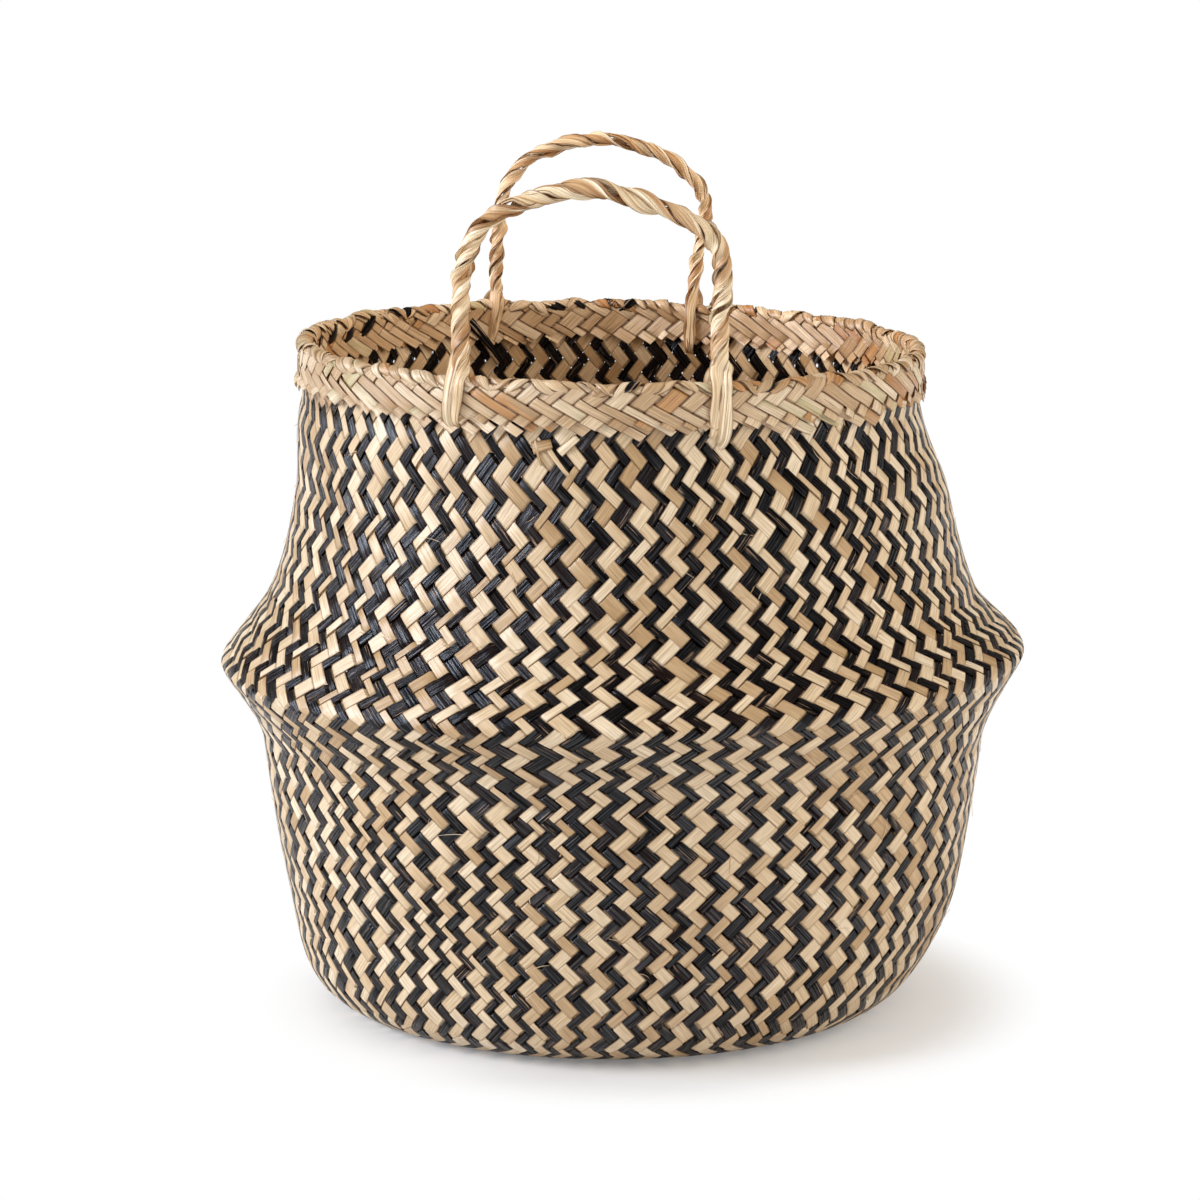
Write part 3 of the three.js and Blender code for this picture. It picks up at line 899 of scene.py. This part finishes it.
# Loose hairs: how many there are, where they start, and their sizes, with pairs in millimetres
LOWER_HAIRS = 70
UPPER_HAIRS = 50
HAIR_START = 4 * MM
HAIR_MARGIN = 6 * MM
HAIR_CURL = 1.6
HAIR_REACH = (4, 14)
HAIR_LIFT = (0.4, 2.2)
HAIR_WIDTH = (0.3, 0.6)
HAIR_THICKNESS = 0.2 * MM

# Where the tear is, and its leaves: place across, height, heading, length, breadth and tone, with the
# lengths in millimetres
TEAR_ANGLE = math.radians(-100.7)
TORN_THICKNESS = 0.5 * MM
TORN_LEAVES = (
    (-8.0, 284.5, 0.3, 9.0, 6.0, 0.02),
    (-2.5, 287.0, -0.95, 17.0, 2.6, 0.3),
    (-7.0, 288.5, -1.3, 12.0, 1.6, 0.1),
    (4.0, 283.0, 0.75, 11.0, 4.4, 0.85),
)

straw = natural_finish()
rim_leaf = rim_finish()
dyed = dyed_finish()
leaf = plait_finish()
wrap = wrapping_tree()
bend = bending_tree()


def coordinates(obj):
    co = np.zeros(len(obj.data.vertices) * 3)
    obj.data.vertices.foreach_get("co", co)
    return co.reshape(-1, 3)


def place(obj, co):
    obj.data.vertices.foreach_set("co", co.astype(np.float32).ravel())
    obj.data.update()


def wrapped_piece(name, part, outline, finish, shape, radius=1.0):
    """Flat work, as on a cylinder of the given radius, wrapped round an outline and shaped by hand."""
    obj = new_object(name, part.mesh(name))
    place(obj, coordinates(obj) / (radius, 1, 1))
    run_tree(obj, wrap, {"Outline": outline, "Finish": finish})
    place(obj, shape(coordinates(obj)))
    return obj


def stand_for(obj, body, slot_name, *nodes):
    if body:
        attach(obj, body)
    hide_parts(*nodes)


def weave_body():
    line = moved_inwards(body_outline(), SHEET_MIDDLE)
    outline = outline_object("wall_outline", line)
    sheet = Sheet(line, EDGE_LENGTH, STRIPS, STRIP_WIDTH)
    first = chance_strips(SEED, STRIPS, PER_SIDE, (NATURAL_SHARE, BLACK_SHARE), WIDTH_SPREAD)
    second = returning_strips(first)
    seams = (LOWER_TOP_HEIGHT, UPPER_FOOT_HEIGHT, WOVEN_TOP)
    lower_top, upper_foot, top = (sheet.row_at_height(height) for height in seams)
    stretches = (
        ("lower", (0.0, lower_top), "basket_foot", ("heel_turn", "lower_wall")),
        ("belly", (lower_top, upper_foot), "basket_foot", ("belly_fold",)),
        ("upper", (upper_foot, top), "basket_top", ("upper_wall",)),
        ("floor", None, "basket_foot", ("base_floor",)),
    )
    for stretch, rows, body, nodes in stretches:
        parts = [MeshParts() for tone in TONES]
        if rows:
            wall_strips(parts, sheet, first, second, True, rows, WOVEN)
            wall_strips(parts, sheet, second, first, False, rows, WOVEN)
        else:
            floor_strips(parts, first, EDGE_LENGTH, WOVEN)
        for tone, part, finish in zip(TONES, parts, (straw, dyed)):
            obj = wrapped_piece(f"{stretch}_{tone}_strips", part, outline, finish, made_by_hand)
            obj.data.set_sharp_from_angle(angle=SHARP_FOLD)
            stand_for(obj, body, "two_tone_weave", *nodes)
            if stretch == "belly":
                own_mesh(obj)
    fray_wall(outline, line)
    bpy.data.objects.remove(outline)


def fray_wall(outline, line):
    """Loose hairs that stand off the wall, and a torn strip under the rim."""
    rng = np.random.default_rng(SEED + 21)
    lengths = lengths_along(line)
    lower_end = LOWER_TOP_HEIGHT - HAIR_MARGIN
    upper_start = UPPER_FOOT_HEIGHT + HAIR_MARGIN
    walls = (
        ("lower_wall", "basket_foot", HAIR_START, lower_end, LOWER_HAIRS),
        ("upper_wall", "basket_top", upper_start, NECK_HEIGHT, UPPER_HAIRS),
    )
    for node, body, low, high, count in walls:
        hairs = MeshParts()
        for _ in range(count):
            length = np.interp(rng.uniform(low, high), line[:, 1], lengths)
            add_hair(hairs, rng, rng.uniform(0, TURN) * NECK_RADIUS, length)
        if node == "upper_wall":
            add_tear(hairs, lengths, line)
        obj = wrapped_piece(f"{node}_hairs", hairs, outline, straw, made_by_hand, NECK_RADIUS)
        stand_for(obj, body, "natural_strip", node)


def add_hair(parts, rng, start, length):
    """One loose fibre, fixed at its start, curling off the surface."""
    t = np.linspace(0, 1, 9)
    reach = rng.uniform(*HAIR_REACH) * MM
    heading = rng.uniform(0, TURN) + rng.uniform(-HAIR_CURL, HAIR_CURL) * t
    around = start + np.cumsum(np.cos(heading)) * reach / len(t)
    up = length + np.cumsum(np.sin(heading)) * reach / len(t)
    off = (0.7 + rng.uniform(*HAIR_LIFT) * t**1.4) * MM
    width = rng.uniform(*HAIR_WIDTH) * MM * (1 - 0.7 * t)
    add_laid_leaf(parts, (around, up, off), 0 * t, width, HAIR_THICKNESS, rng.random())


def add_tear(parts, lengths, line):
    """The torn strip seen under the front of the rim: short leaves that have come off the plaiting."""
    t = np.linspace(0, 1, 9)
    for across, height, heading, reach, breadth, tone in TORN_LEAVES:
        around = TEAR_ANGLE * NECK_RADIUS + (across + reach * math.cos(heading) * t) * MM
        up = np.interp(height * MM, line[:, 1], lengths) + reach * math.sin(heading) * t * MM
        off = (1.1 + 0.5 * np.sin(math.pi * t) + 0.5 * t) * MM
        width = breadth * MM * (1 - 0.25 * t)
        add_laid_leaf(parts, (around, up, off), 0.25 * t, width, TORN_THICKNESS, tone)


# The rim band

BAND_STRIPS = 88
BAND_STRIP_WIDTH = 5.77 * MM
BAND_STRIP_SPREAD = 0.2
BAND_SLANT = -0.25
BAND_CLOTH = Cloth(
    thickness=0.5 * MM, crown=0.2 * MM, lift=0.62 * MM, fill=0.95, slack=0.1, tilt=0.3 * MM, square_cut=True,
    curl=1.5 * MM,
)
BAND_TAIL = 8 * MM
TAIL_FLARE = 2.2 * MM
OUTER_FLARE = 0.8 * MM
INNER_FLARE = 0.9 * MM
BAND_INNER_GAP = 1.1 * MM
INNER_BAND_HEIGHT = 17 * MM
# The band's lower ends in rows: how ragged they are outside, by the way a strip leans, and inside
LEFT_RAGGED = 1.6
RIGHT_RAGGED = 0.2
INNER_RAGGED = (-0.4, 0.8)
# The stretches of the band, in steps round it, where the twill is even
STRETCH_DEGREES = 30
EVEN_STRETCHES = (1, 2, 4, 5, 7, 8, 11)
# Waves of the band's top edge: how many round it, where they start, and their height in millimetres
EDGE_WAVES = ((13, 0.3, 0.45), (22, 1.9, 0.4), (37, 0.8, 0.35))
# How far above the neck they begin to show
EDGE_START = 8 * MM

# Leaves folded over the edge, with pairs in millimetres
FOLD_SPACING = 6.6 * MM
FOLD_RUN = (9, 17)
FOLD_RISE = (7, 12)
FOLD_LIFT = (0.7, 1.5)
FOLD_WIDTH = (3.8, 6.6)
FOLD_THICKNESS = 0.9 * MM
# Black folds: their places in degrees, and how far below the edge those on the inside lie
BLACK_FOLDS = (-86.5, -61.5, 85.5, 90.0, 97.3, 102.5, 134.0, 138.0)
BLACK_INSIDE = ((147, 6), (154, 8), (161, 5), (170, 7))
# The loose black strip: where it starts and how far round it runs; then in millimetres how far down it
# starts and how much farther it gets, how far it stands off and how much more in its middle, and how
# wide it is and how much it narrows
LOOSE_START = math.radians(120)
LOOSE_TURN = math.radians(8)
LOOSE_DEPTHS = (9, 22)
LOOSE_LIFTS = (1.4, 1.6)
LOOSE_WIDTHS = (5, 2)


def band_twill(total, sideways):
    """Uneven twill: over three and under one, but over two and under two where hands changed their mind."""
    degrees = (sideways % (2 * BAND_STRIPS)) * 180 // BAND_STRIPS
    even = np.isin(degrees // STRETCH_DEGREES, EVEN_STRETCHES)
    return np.isin(total % 4, (0, 1)) | ((total % 4 == 2) & ~even)


def band_line():
    """The band's middle line: up the outside of the wall, over its edge and down the inside."""
    outer = BAND_RADIUS - BAND_THICKNESS / 2
    inner = NECK_RADIUS - WALL_THICKNESS - BAND_INNER_GAP
    bend_radius = (outer - inner) / 2
    middle = (outer + inner) / 2
    crown = RIM_HEIGHT - BAND_THICKNESS / 2 - bend_radius
    tail_end = NECK_HEIGHT - BAND_TAIL
    tail_middle = NECK_HEIGHT - BAND_TAIL / 2
    tail_start = NECK_HEIGHT + 0.5 * MM
    points = [(outer + TAIL_FLARE, tail_end), (outer + OUTER_FLARE, tail_middle), (outer, tail_start)]
    points += [(outer, z) for z in np.linspace(NECK_HEIGHT + 5 * MM, crown, 4)]
    for turn in np.linspace(0, math.pi, 9)[1:-1]:
        points.append((middle + bend_radius * math.cos(turn), crown + bend_radius * math.sin(turn)))
    points += [(inner, z) for z in np.linspace(crown, tail_start, 5)]
    points += [(inner + INNER_FLARE, tail_middle), (inner + TAIL_FLARE, tail_end)]
    return np.array(points)


def band_shape(co):
    """The band's hand-made shape: an uneven top edge on top of the basket's own lean and tilt."""
    angle = np.arctan2(co[:, 1], co[:, 0])
    uneven = np.zeros(len(co))
    for waves, phase, size in EDGE_WAVES:
        uneven += size * MM * np.sin(waves * angle + phase)
    out = made_by_hand(co)
    out[:, 2] += uneven * smooth(co[:, 2], NECK_HEIGHT + EDGE_START, RIM_HEIGHT)
    return out


def weave_band():
    line = band_line()
    outline = outline_object("band_outline", line)
    sheet = Sheet(line, 0.0, BAND_STRIPS, BAND_STRIP_WIDTH, BAND_SLANT)
    rng = np.random.default_rng(SEED + 5)
    inner_gap = RIM_HEIGHT - NECK_HEIGHT - INNER_BAND_HEIGHT
    ends = (BAND_TAIL, sheet.lengths[-1] - BAND_TAIL - inner_gap)
    low_end, high_end = np.interp(ends, sheet.fine, sheet.rows)
    sets = [chance_strips(SEED + k, BAND_STRIPS, BAND_STRIPS, (1.0,), BAND_STRIP_SPREAD) for k in (7, 8)]
    band = MeshParts()
    for own, cross, leans_left in ((sets[0], sets[1], True), (sets[1], sets[0], False)):
        low = low_end + 2.0 - rng.uniform(0.0, LEFT_RAGGED if leans_left else RIGHT_RAGGED, own.count)
        high = high_end + rng.uniform(*INNER_RAGGED, own.count)
        wall_strips([band], sheet, own, cross, leans_left, (low, high), BAND_CLOTH, band_twill)
    obj = wrapped_piece("rim_band_strips", band, outline, rim_leaf, band_shape)
    obj.data.set_sharp_from_angle(angle=SHARP_FOLD)
    stand_for(obj, "basket_top", "natural_strip", "rim_band")
    fold_edge(outline, line)
    bpy.data.objects.remove(outline)


def fold_edge(outline, line):
    """Leaves folded over the top edge and twisted along it, each crossing from one side to the other."""
    rng = np.random.default_rng(SEED + 9)
    highest = np.argmax(line[:, 1])
    crown = lengths_along(line)[highest]
    radius = line[highest, 0]
    count = int(TURN * radius / FOLD_SPACING)
    natural, black = MeshParts(), MeshParts()
    for number in range(count):
        angle = TURN * (number + 0.35 * rng.uniform(-1, 1)) / count
        add_fold(natural, rng, angle * radius, crown, rng.choice([-1, 1], p=[0.75, 0.25]))
    for degrees in BLACK_FOLDS:
        add_fold(black, rng, math.radians(degrees) * radius, crown, rng.choice([-1, 1]))
    for degrees, depth in BLACK_INSIDE:
        add_fold(black, rng, math.radians(degrees) * radius, crown + depth * MM, 1)
    add_loose_strip(black, radius, crown)
    for name, part, finish in (("rim_edge_folds", natural, rim_leaf), ("black_edge_folds", black, dyed)):
        obj = wrapped_piece(name, part, outline, finish, band_shape, radius)
        stand_for(obj, "basket_top", "natural_strip", "rim_band")


def add_fold(parts, rng, start, crown, hand):
    """One leaf folded slantwise over the edge, broad and raised in the middle."""
    t = np.linspace(0, 1, 15)
    run = rng.uniform(*FOLD_RUN) * MM
    rise = rng.uniform(*FOLD_RISE) * MM
    bulge = np.sin(math.pi * t)
    around = start + run * (t - 0.5)
    over = crown + hand * rise * (t - 0.5) + rng.uniform(-1, 1) * MM
    off = (0.3 + rng.uniform(*FOLD_LIFT) * bulge) * MM
    twist = rng.uniform(-0.3, 0.3) + rng.uniform(-0.8, 0.8) * (t - 0.5)
    width = rng.uniform(*FOLD_WIDTH) * MM * (0.4 + 0.6 * bulge)
    add_laid_leaf(parts, (around, over, off), twist, width, FOLD_THICKNESS, rng.random(), along=around)


def add_loose_strip(parts, radius, crown):
    """The black strip that lies loose across the inside of the rim."""
    t = np.linspace(0, 1, 11)
    around = (LOOSE_START - LOOSE_TURN * t) * radius
    down = crown + (LOOSE_DEPTHS[0] + LOOSE_DEPTHS[1] * t) * MM
    off = (LOOSE_LIFTS[0] + LOOSE_LIFTS[1] * np.sin(math.pi * t)) * MM
    width = (LOOSE_WIDTHS[0] - LOOSE_WIDTHS[1] * t) * MM
    add_laid_leaf(parts, (around, down, off), 0.4 * t, width, TORN_THICKNESS, 0.3)


# Handles

MIDDLE_RADIUS = NECK_RADIUS - WALL_THICKNESS / 2
STRANDS = 3
STRAND_LEAVES = (
    {"across": 0.0, "off": 0.0, "width": 6.6, "thickness": 2.4},
    {"across": 1.9, "off": 1.1, "width": 3.4, "thickness": 1.2},
    {"across": -2.3, "off": 0.6, "width": 2.2, "thickness": 1.1},
)
# How far the strands swing to the side and in depth, in the plait and flat on the rim
PLAIT_SWING = 2.7 * MM
PLAIT_DEPTH = 2.0 * MM
LIMB_SWING = 2.3 * MM
LIMB_DEPTH = 0.9 * MM
# The share of its width that each strand keeps where it lies flat
LIMB_SHARES = (1.0, 0.8, 0.62)
# How far apart the rings of a leaf are
PLAIT_STEP = 0.9 * MM
BINDING_STEP = 1.0 * MM
# Heights above the pivot where the plait begins, and where its turns grow longer, and their lengths in mm
PLAITED_HEIGHTS = (-9 * MM, 3 * MM)
LONGER_HEIGHTS = (42 * MM, 66 * MM)
TURN_LENGTH = 27
LONGER_BY = 15
# The stretches at a limb's ends where its width changes
PLAIT_TIP = (-2 * MM, 15 * MM)
BINDING_TIP = (-2 * MM, 14 * MM)
BINDING_TOP = 9 * MM
# How long the leaves' unevenness is in the things that it changes
CREASE_WAVE = 8 * MM
THICKNESS_WAVE = 9 * MM
TWIST_WAVE = 15 * MM
LIFT_WAVE = 16 * MM
SWING_WAVE = 18 * MM
SHIFT_WAVE = 22 * MM

# A limb's route from inside the wall, under the band and up over the rim, in millimetres: how far out,
# how far above the rim's top, and what share of the handle's reach it hangs lower than that
LIMB_ROUTE = (
    (-1.5, -1.2, 1.0), (1.2, -0.6, 1.0), (3.8, 1.2, 1.0), (4.9, 5.0, 1.0), (5.1, 0.0, 0.5),
    (5.0, -5.0, 0.0), (4.4, -0.5, 0.0), (2.6, 3.2, 0.0), (1.0, 6.0, 0.0), (0.0, 9.5, 0.0),
)
ROUTE_TOP = 9.5
PLAIT_ROUTE_TOP = 6.0

# The arches in millimetres: place across and height above the pivot
FRONT_ARCH = (
    (-57.9, 13), (-58.1, 31), (-55, 48), (-48, 60), (-33, 69), (-12, 75), (10, 75.5), (30, 68), (49, 60),
    (57, 49), (58, 33), (55.8, 14),
)
BACK_ARCH = (
    (-49.5, 8), (-48.5, 28), (-45.5, 50), (-37, 62), (-16, 72), (8, 73.5), (30, 67.5), (48, 55), (56, 41),
    (53, 28), (49.5, 8),
)
HANDLES = (
    {
        "name": "front_handle", "arch": FRONT_ARCH, "main_side": 1, "size": 1.0, "reaches": (19.5, 25.0),
        "drifts": (-3.0, -2.5), "flares": (0.55, 1.35), "seed": 11,
    },
    {
        "name": "back_handle", "arch": BACK_ARCH, "main_side": -1, "size": 0.76, "reaches": (20.0, 23.0),
        "drifts": (-6.5, -1.5), "flares": (0.55, 0.7), "seed": 12,
    },
)


@dataclass
class Handle:
    """How one handle's plait is made, and where the frame says that it stands.

    main_side is 1 where the plait's own ends go down outside the rim, and -1 where they go down inside.
    The ends' reach below the rim and their drift sideways are in millimetres, left and then right.
    """

    name: str
    arch: tuple
    main_side: int
    size: float
    reaches: tuple
    drifts: tuple
    flares: tuple
    seed: int

    def __post_init__(self):
        joint = next(j for j in frame["joints"] if j["name"] == f"{self.name}_swing")
        self.pivot = np.array(joint["pos_m"])
        self.axis = np.array(joint["axis"]) * np.sign(joint["axis"][0])
        away = np.array([self.pivot[0] + LEAN, self.pivot[1], 0.0])
        chord = np.linalg.norm(away)
        self.out = away / chord
        self.half_span = math.sqrt(MIDDLE_RADIUS**2 - chord**2)

    def place(self, across, outwards, up):
        return self.pivot + across * self.axis + outwards * self.out + np.array([0, 0, up])

    def limb(self, hand, side, top=PLAIT_ROUTE_TOP):
        """One limb: from inside the wall, out under the band and up over the rim to the pivot."""
        reach = self.reaches[0 if hand < 0 else 1]
        drift = self.drifts[0 if hand < 0 else 1] * MM
        lean = math.asin(self.half_span / MIDDLE_RADIUS)
        drop = self.pivot[2] - RIM_HEIGHT
        points = []
        for outwards, rise, share in LIMB_ROUTE:
            radial = outwards * (side * MM)
            up = rise - share * reach
            if up <= top:
                drifted = drift * (ROUTE_TOP - up) / (ROUTE_TOP + reach)
                across = hand * (self.half_span + radial * math.sin(lean)) + drifted
                points.append(self.place(across, radial * math.cos(lean), up * MM - drop))
        return points


def bent_piece(name, parts, path, facing):
    """Straight leaf work bent along a path, as a plain mesh."""
    obj = new_object(name, parts.mesh(name))
    guide = guide_object(f"{name}_path", path.points.tolist())
    run_tree(obj, bend, {"Path": guide, "Facing": tuple(float(v) for v in facing), "Finish": leaf})
    bpy.data.objects.remove(guide)
    obj.data.set_sharp_from_angle(angle=math.radians(30))
    return obj


def strand_leaves(parts, rng, middle, twist, size, main, others, thin):
    """Lays the folded leaves of one strand side by side; main and others are shares of their widths."""
    along = middle[:, 1]
    across, off = turned_frame(middle, twist + 0.6 * creased_noise(rng, along, CREASE_WAVE))
    for number, shape in enumerate(STRAND_LEAVES):
        share = size * (others if number else main)
        hand = rng.choice([-1, 1])
        shift = hand * shape["across"] * MM * (0.8 + 0.35 * slow_noise(rng, along, SHIFT_WAVE)) * share
        lift = shape["off"] * MM * (0.7 + 0.6 * slow_noise(rng, along, LIFT_WAVE)) * thin * size
        centre = middle + shift[:, None] * across + lift[:, None] * off
        width = shape["width"] * MM * share * (1 + 0.3 * creased_noise(rng, along, CREASE_WAVE))
        uneven = 1 + 0.2 * creased_noise(rng, along, THICKNESS_WAVE)
        thickness = shape["thickness"] * MM * size * thin * uneven
        directions = turned(across, off, 0.25 * slow_noise(rng, along, CREASE_WAVE))
        add_leaf(parts, centre, directions, width, thickness, rng.random())


def handle_path(handle):
    """Up one leg from inside the wall, over the arch and down the other leg."""
    left = handle.limb(-1, handle.main_side)
    right = handle.limb(1, handle.main_side)[::-1]
    return Path(left + [handle.place(a * MM, 0.0, h * MM) for a, h in handle.arch] + right)


def plait_handle(handle):
    """Three strands twisted round each other from leg to leg, which lie flat on the rim."""
    path = handle_path(handle)
    along = np.arange(0, path.length, PLAIT_STEP)
    height = np.interp(along, lengths_along(path.points), path.points[:, 2]) - handle.pivot[2]
    plaited = smooth(height, *PLAITED_HEIGHTS)
    flat = 1 - plaited
    period = (TURN_LENGTH + LONGER_BY * smooth(height, *LONGER_HEIGHTS)) * MM
    phase = np.cumsum(TURN / period * plaited) * PLAIT_STEP
    narrow = smooth(np.minimum(along, path.length - along), *PLAIT_TIP)
    first_half = along < path.length / 2
    at_tip = np.where(first_half, *handle.flares)
    limb_width = at_tip + (1 - at_tip) * narrow
    rng = np.random.default_rng(handle.seed)
    parts = MeshParts()
    for number in range(STRANDS):
        turn = phase + number * TURN / STRANDS + handle.seed
        at_end = np.where(first_half, turn[0], turn[-1])
        swing = (1 + 0.2 * slow_noise(rng, along, SWING_WAVE)) * handle.size
        x = (plaited * PLAIT_SWING + flat * LIMB_SWING * limb_width) * swing * np.sin(turn)
        z = (plaited * PLAIT_DEPTH + flat * LIMB_DEPTH) * swing * np.cos(turn)
        facing = (at_end + math.pi / 2) % math.pi - math.pi / 2
        twist = flat * facing - turn
        main = plaited + flat * LIMB_SHARES[number] * np.minimum(limb_width, 2 - limb_width)
        others = main * (0.12 + 0.88 * plaited)
        middle = np.stack([x, along, z], axis=1)
        strand_leaves(parts, rng, middle, twist, handle.size, main, others, 0.6 + 0.4 * plaited)
    obj = bent_piece(f"{handle.name}_plait", parts, path, handle.main_side * handle.out)
    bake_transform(obj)
    stand_for(obj, None, "plaited_leaf", handle.name)


def bind_limb(handle, hand):
    """The other half of a leg's leaves, which goes down the rim's other side."""
    side = -handle.main_side
    path = Path(handle.limb(hand, side, top=ROUTE_TOP), count=120)
    along = np.arange(0, path.length, BINDING_STEP)
    rng = np.random.default_rng(handle.seed * 10 + hand + 2)
    narrow = smooth(along, *BINDING_TIP)
    top = 1 - smooth(along, path.length - BINDING_TOP, path.length)
    main = (0.4 + 0.5 * narrow) * (0.45 + 0.55 * top)
    parts = MeshParts()
    for number in range(2):
        x = (number - 0.5) * (0.6 + 2.6 * narrow * (0.4 + 0.6 * top)) * MM
        middle = np.stack([x, along, np.full(len(along), number * 0.5 * MM)], axis=1)
        twist = 0.3 * (0.5 - number) + 0.15 * slow_noise(rng, along, TWIST_WAVE)
        strand_leaves(parts, rng, middle, twist, handle.size, main, 0.4 * main, 0.5)
    hand_name = "left" if hand < 0 else "right"
    obj = bent_piece(f"{handle.name}_{hand_name}_binding", parts, path, side * handle.out)
    stand_for(obj, "basket_top", "plaited_leaf", f"{handle.name}_loop_{hand_name}")


def make_handles():
    for settings in HANDLES:
        handle = Handle(**settings)
        plait_handle(handle)
        for hand in (-1, 1):
            bind_limb(handle, hand)


# Studio

WHITE = (1, 1, 1, 1)
WARM_WHITE = (1.0, 0.955, 0.9, 1)
WORLD_STRENGTH = 0.38
MIRRORED_STRENGTH = 0.13
FLOOR_COLOUR = (0.82, 0.815, 0.81, 1)
FLOOR_GLOW = 0.17
# The floor has a painted shadow in front of the basket, and fades to white away from it
PAINTED_SHADOW_MIDDLE = (-0.01, -0.16)
PAINTED_SHADOW_SCALE = (7.7, 20)
PAINTED_SHADOW_RANGE = (1.1, 0.2)
FADE_MIDDLE = (0.014, -0.01)
FADE_RANGE = (0.138, 0.19)
# Each light: its name, where it comes from, strength, spread in degrees, colour, and if gloss shows it
LIGHTS = (
    ("left_light", (-1.3, -0.25, 0.58), 3.05, 30, (0.97, 1.03, 1.14), True),
    ("right_light", (1.3, -0.4, 0.58), 1.68, 55, (1.0, 0.98, 0.945), False),
    ("top_light", (0.0, -0.8, 1.2), 0.55, 80, (1.0, 0.97, 0.92), False),
    ("back_light", (0.25, 1.2, 0.7), 0.75, 80, (1.0, 0.98, 0.95), False),
)
CAMERA_PLACE = (-0.0105, -2.10205, 0.60042)
CAMERA_DIP = 0.19277901
CAMERA_LENS = 135.87


def distance_from(nodes, middle, scale):
    """How far a place on the floor is from middle, measured with its own scale each way."""
    where = nodes.add("ShaderNodeTexCoord").outputs["Object"]
    moved = nodes.vector("ADD", where, (-middle[0], -middle[1], 0.0))
    return nodes.vector("LENGTH", nodes.vector("MULTIPLY", moved, (*scale, 0.0)))


def light_source(nodes, kind, colour, strength):
    return nodes.add(kind, {"Color": colour, "Strength": strength}).outputs[0]


def studio_floor():
    bpy.ops.mesh.primitive_plane_add(size=60)
    floor = bpy.context.active_object
    floor.name = "studio_floor"
    material, nodes = shader("pale_floor")
    matt = nodes.add("ShaderNodeBsdfDiffuse", {"Color": FLOOR_COLOUR}).outputs[0]
    glow = light_source(nodes, "ShaderNodeEmission", WHITE, FLOOR_GLOW)
    far = light_source(nodes, "ShaderNodeEmission", WHITE, 1.0)
    black = light_source(nodes, "ShaderNodeEmission", (0, 0, 0, 1), 0.0)
    seen = nodes.add("ShaderNodeAddShader", {0: matt, 1: glow}).outputs[0]
    # Painted shadow: where the camera sees it, the floor is darkened by up to a fifth in a patch in front of
    # the basket
    painted_shadow = nodes.steps(distance_from(nodes, PAINTED_SHADOW_MIDDLE, PAINTED_SHADOW_SCALE), *PAINTED_SHADOW_RANGE)
    seen = nodes.blended(nodes.math("MULTIPLY", painted_shadow, 0.2), seen, black)
    away = nodes.steps(distance_from(nodes, FADE_MIDDLE, (1, 1)), *FADE_RANGE)
    seen = nodes.blended(away, seen, far)
    camera_ray = nodes.add("ShaderNodeLightPath").outputs["Is Camera Ray"]
    nodes.add("ShaderNodeOutputMaterial", {"Surface": nodes.blended(camera_ray, matt, seen)})
    floor.data.materials.append(material)


def studio_world():
    """White to the camera, and a warm soft light on the basket that gloss shows dimmer."""
    world = bpy.data.worlds.new("soft_white")
    bpy.context.scene.world = world
    world.use_nodes = True
    world.node_tree.nodes.clear()
    nodes = Tree(world.node_tree)
    light = light_source(nodes, "ShaderNodeBackground", WARM_WHITE, WORLD_STRENGTH)
    mirrored = light_source(nodes, "ShaderNodeBackground", WARM_WHITE, MIRRORED_STRENGTH)
    white = light_source(nodes, "ShaderNodeBackground", WHITE, 1.0)
    ray = nodes.add("ShaderNodeLightPath").outputs
    light = nodes.blended(ray["Is Glossy Ray"], light, mirrored)
    nodes.add("ShaderNodeOutputWorld", {"Surface": nodes.blended(ray["Is Camera Ray"], light, white)})


def add_sun(name, direction, strength, spread, colour, mirrored):
    """A wide soft light that shines from a direction towards the basket; mirrored says if gloss shows it."""
    light = bpy.data.lights.new(name, "SUN")
    light.energy = strength
    light.angle = math.radians(spread)
    light.color = colour
    obj = new_object(name, light)
    obj.rotation_euler = Vector(direction).to_track_quat("Z", "Y").to_euler()
    obj.visible_glossy = mirrored


def studio_camera():
    data = bpy.data.cameras.new("photo_view")
    data.sensor_width = 36
    data.lens = CAMERA_LENS
    camera = new_object("photo_view", data)
    camera.location = CAMERA_PLACE
    camera.rotation_euler = (math.pi / 2 - CAMERA_DIP, 0, 0)
    bpy.context.scene.camera = camera


weave_body()
weave_band()
make_handles()
studio_floor()
studio_world()
for sun in LIGHTS:
    add_sun(*sun)
studio_camera()
bpy.context.scene.view_settings.view_transform = "Standard"
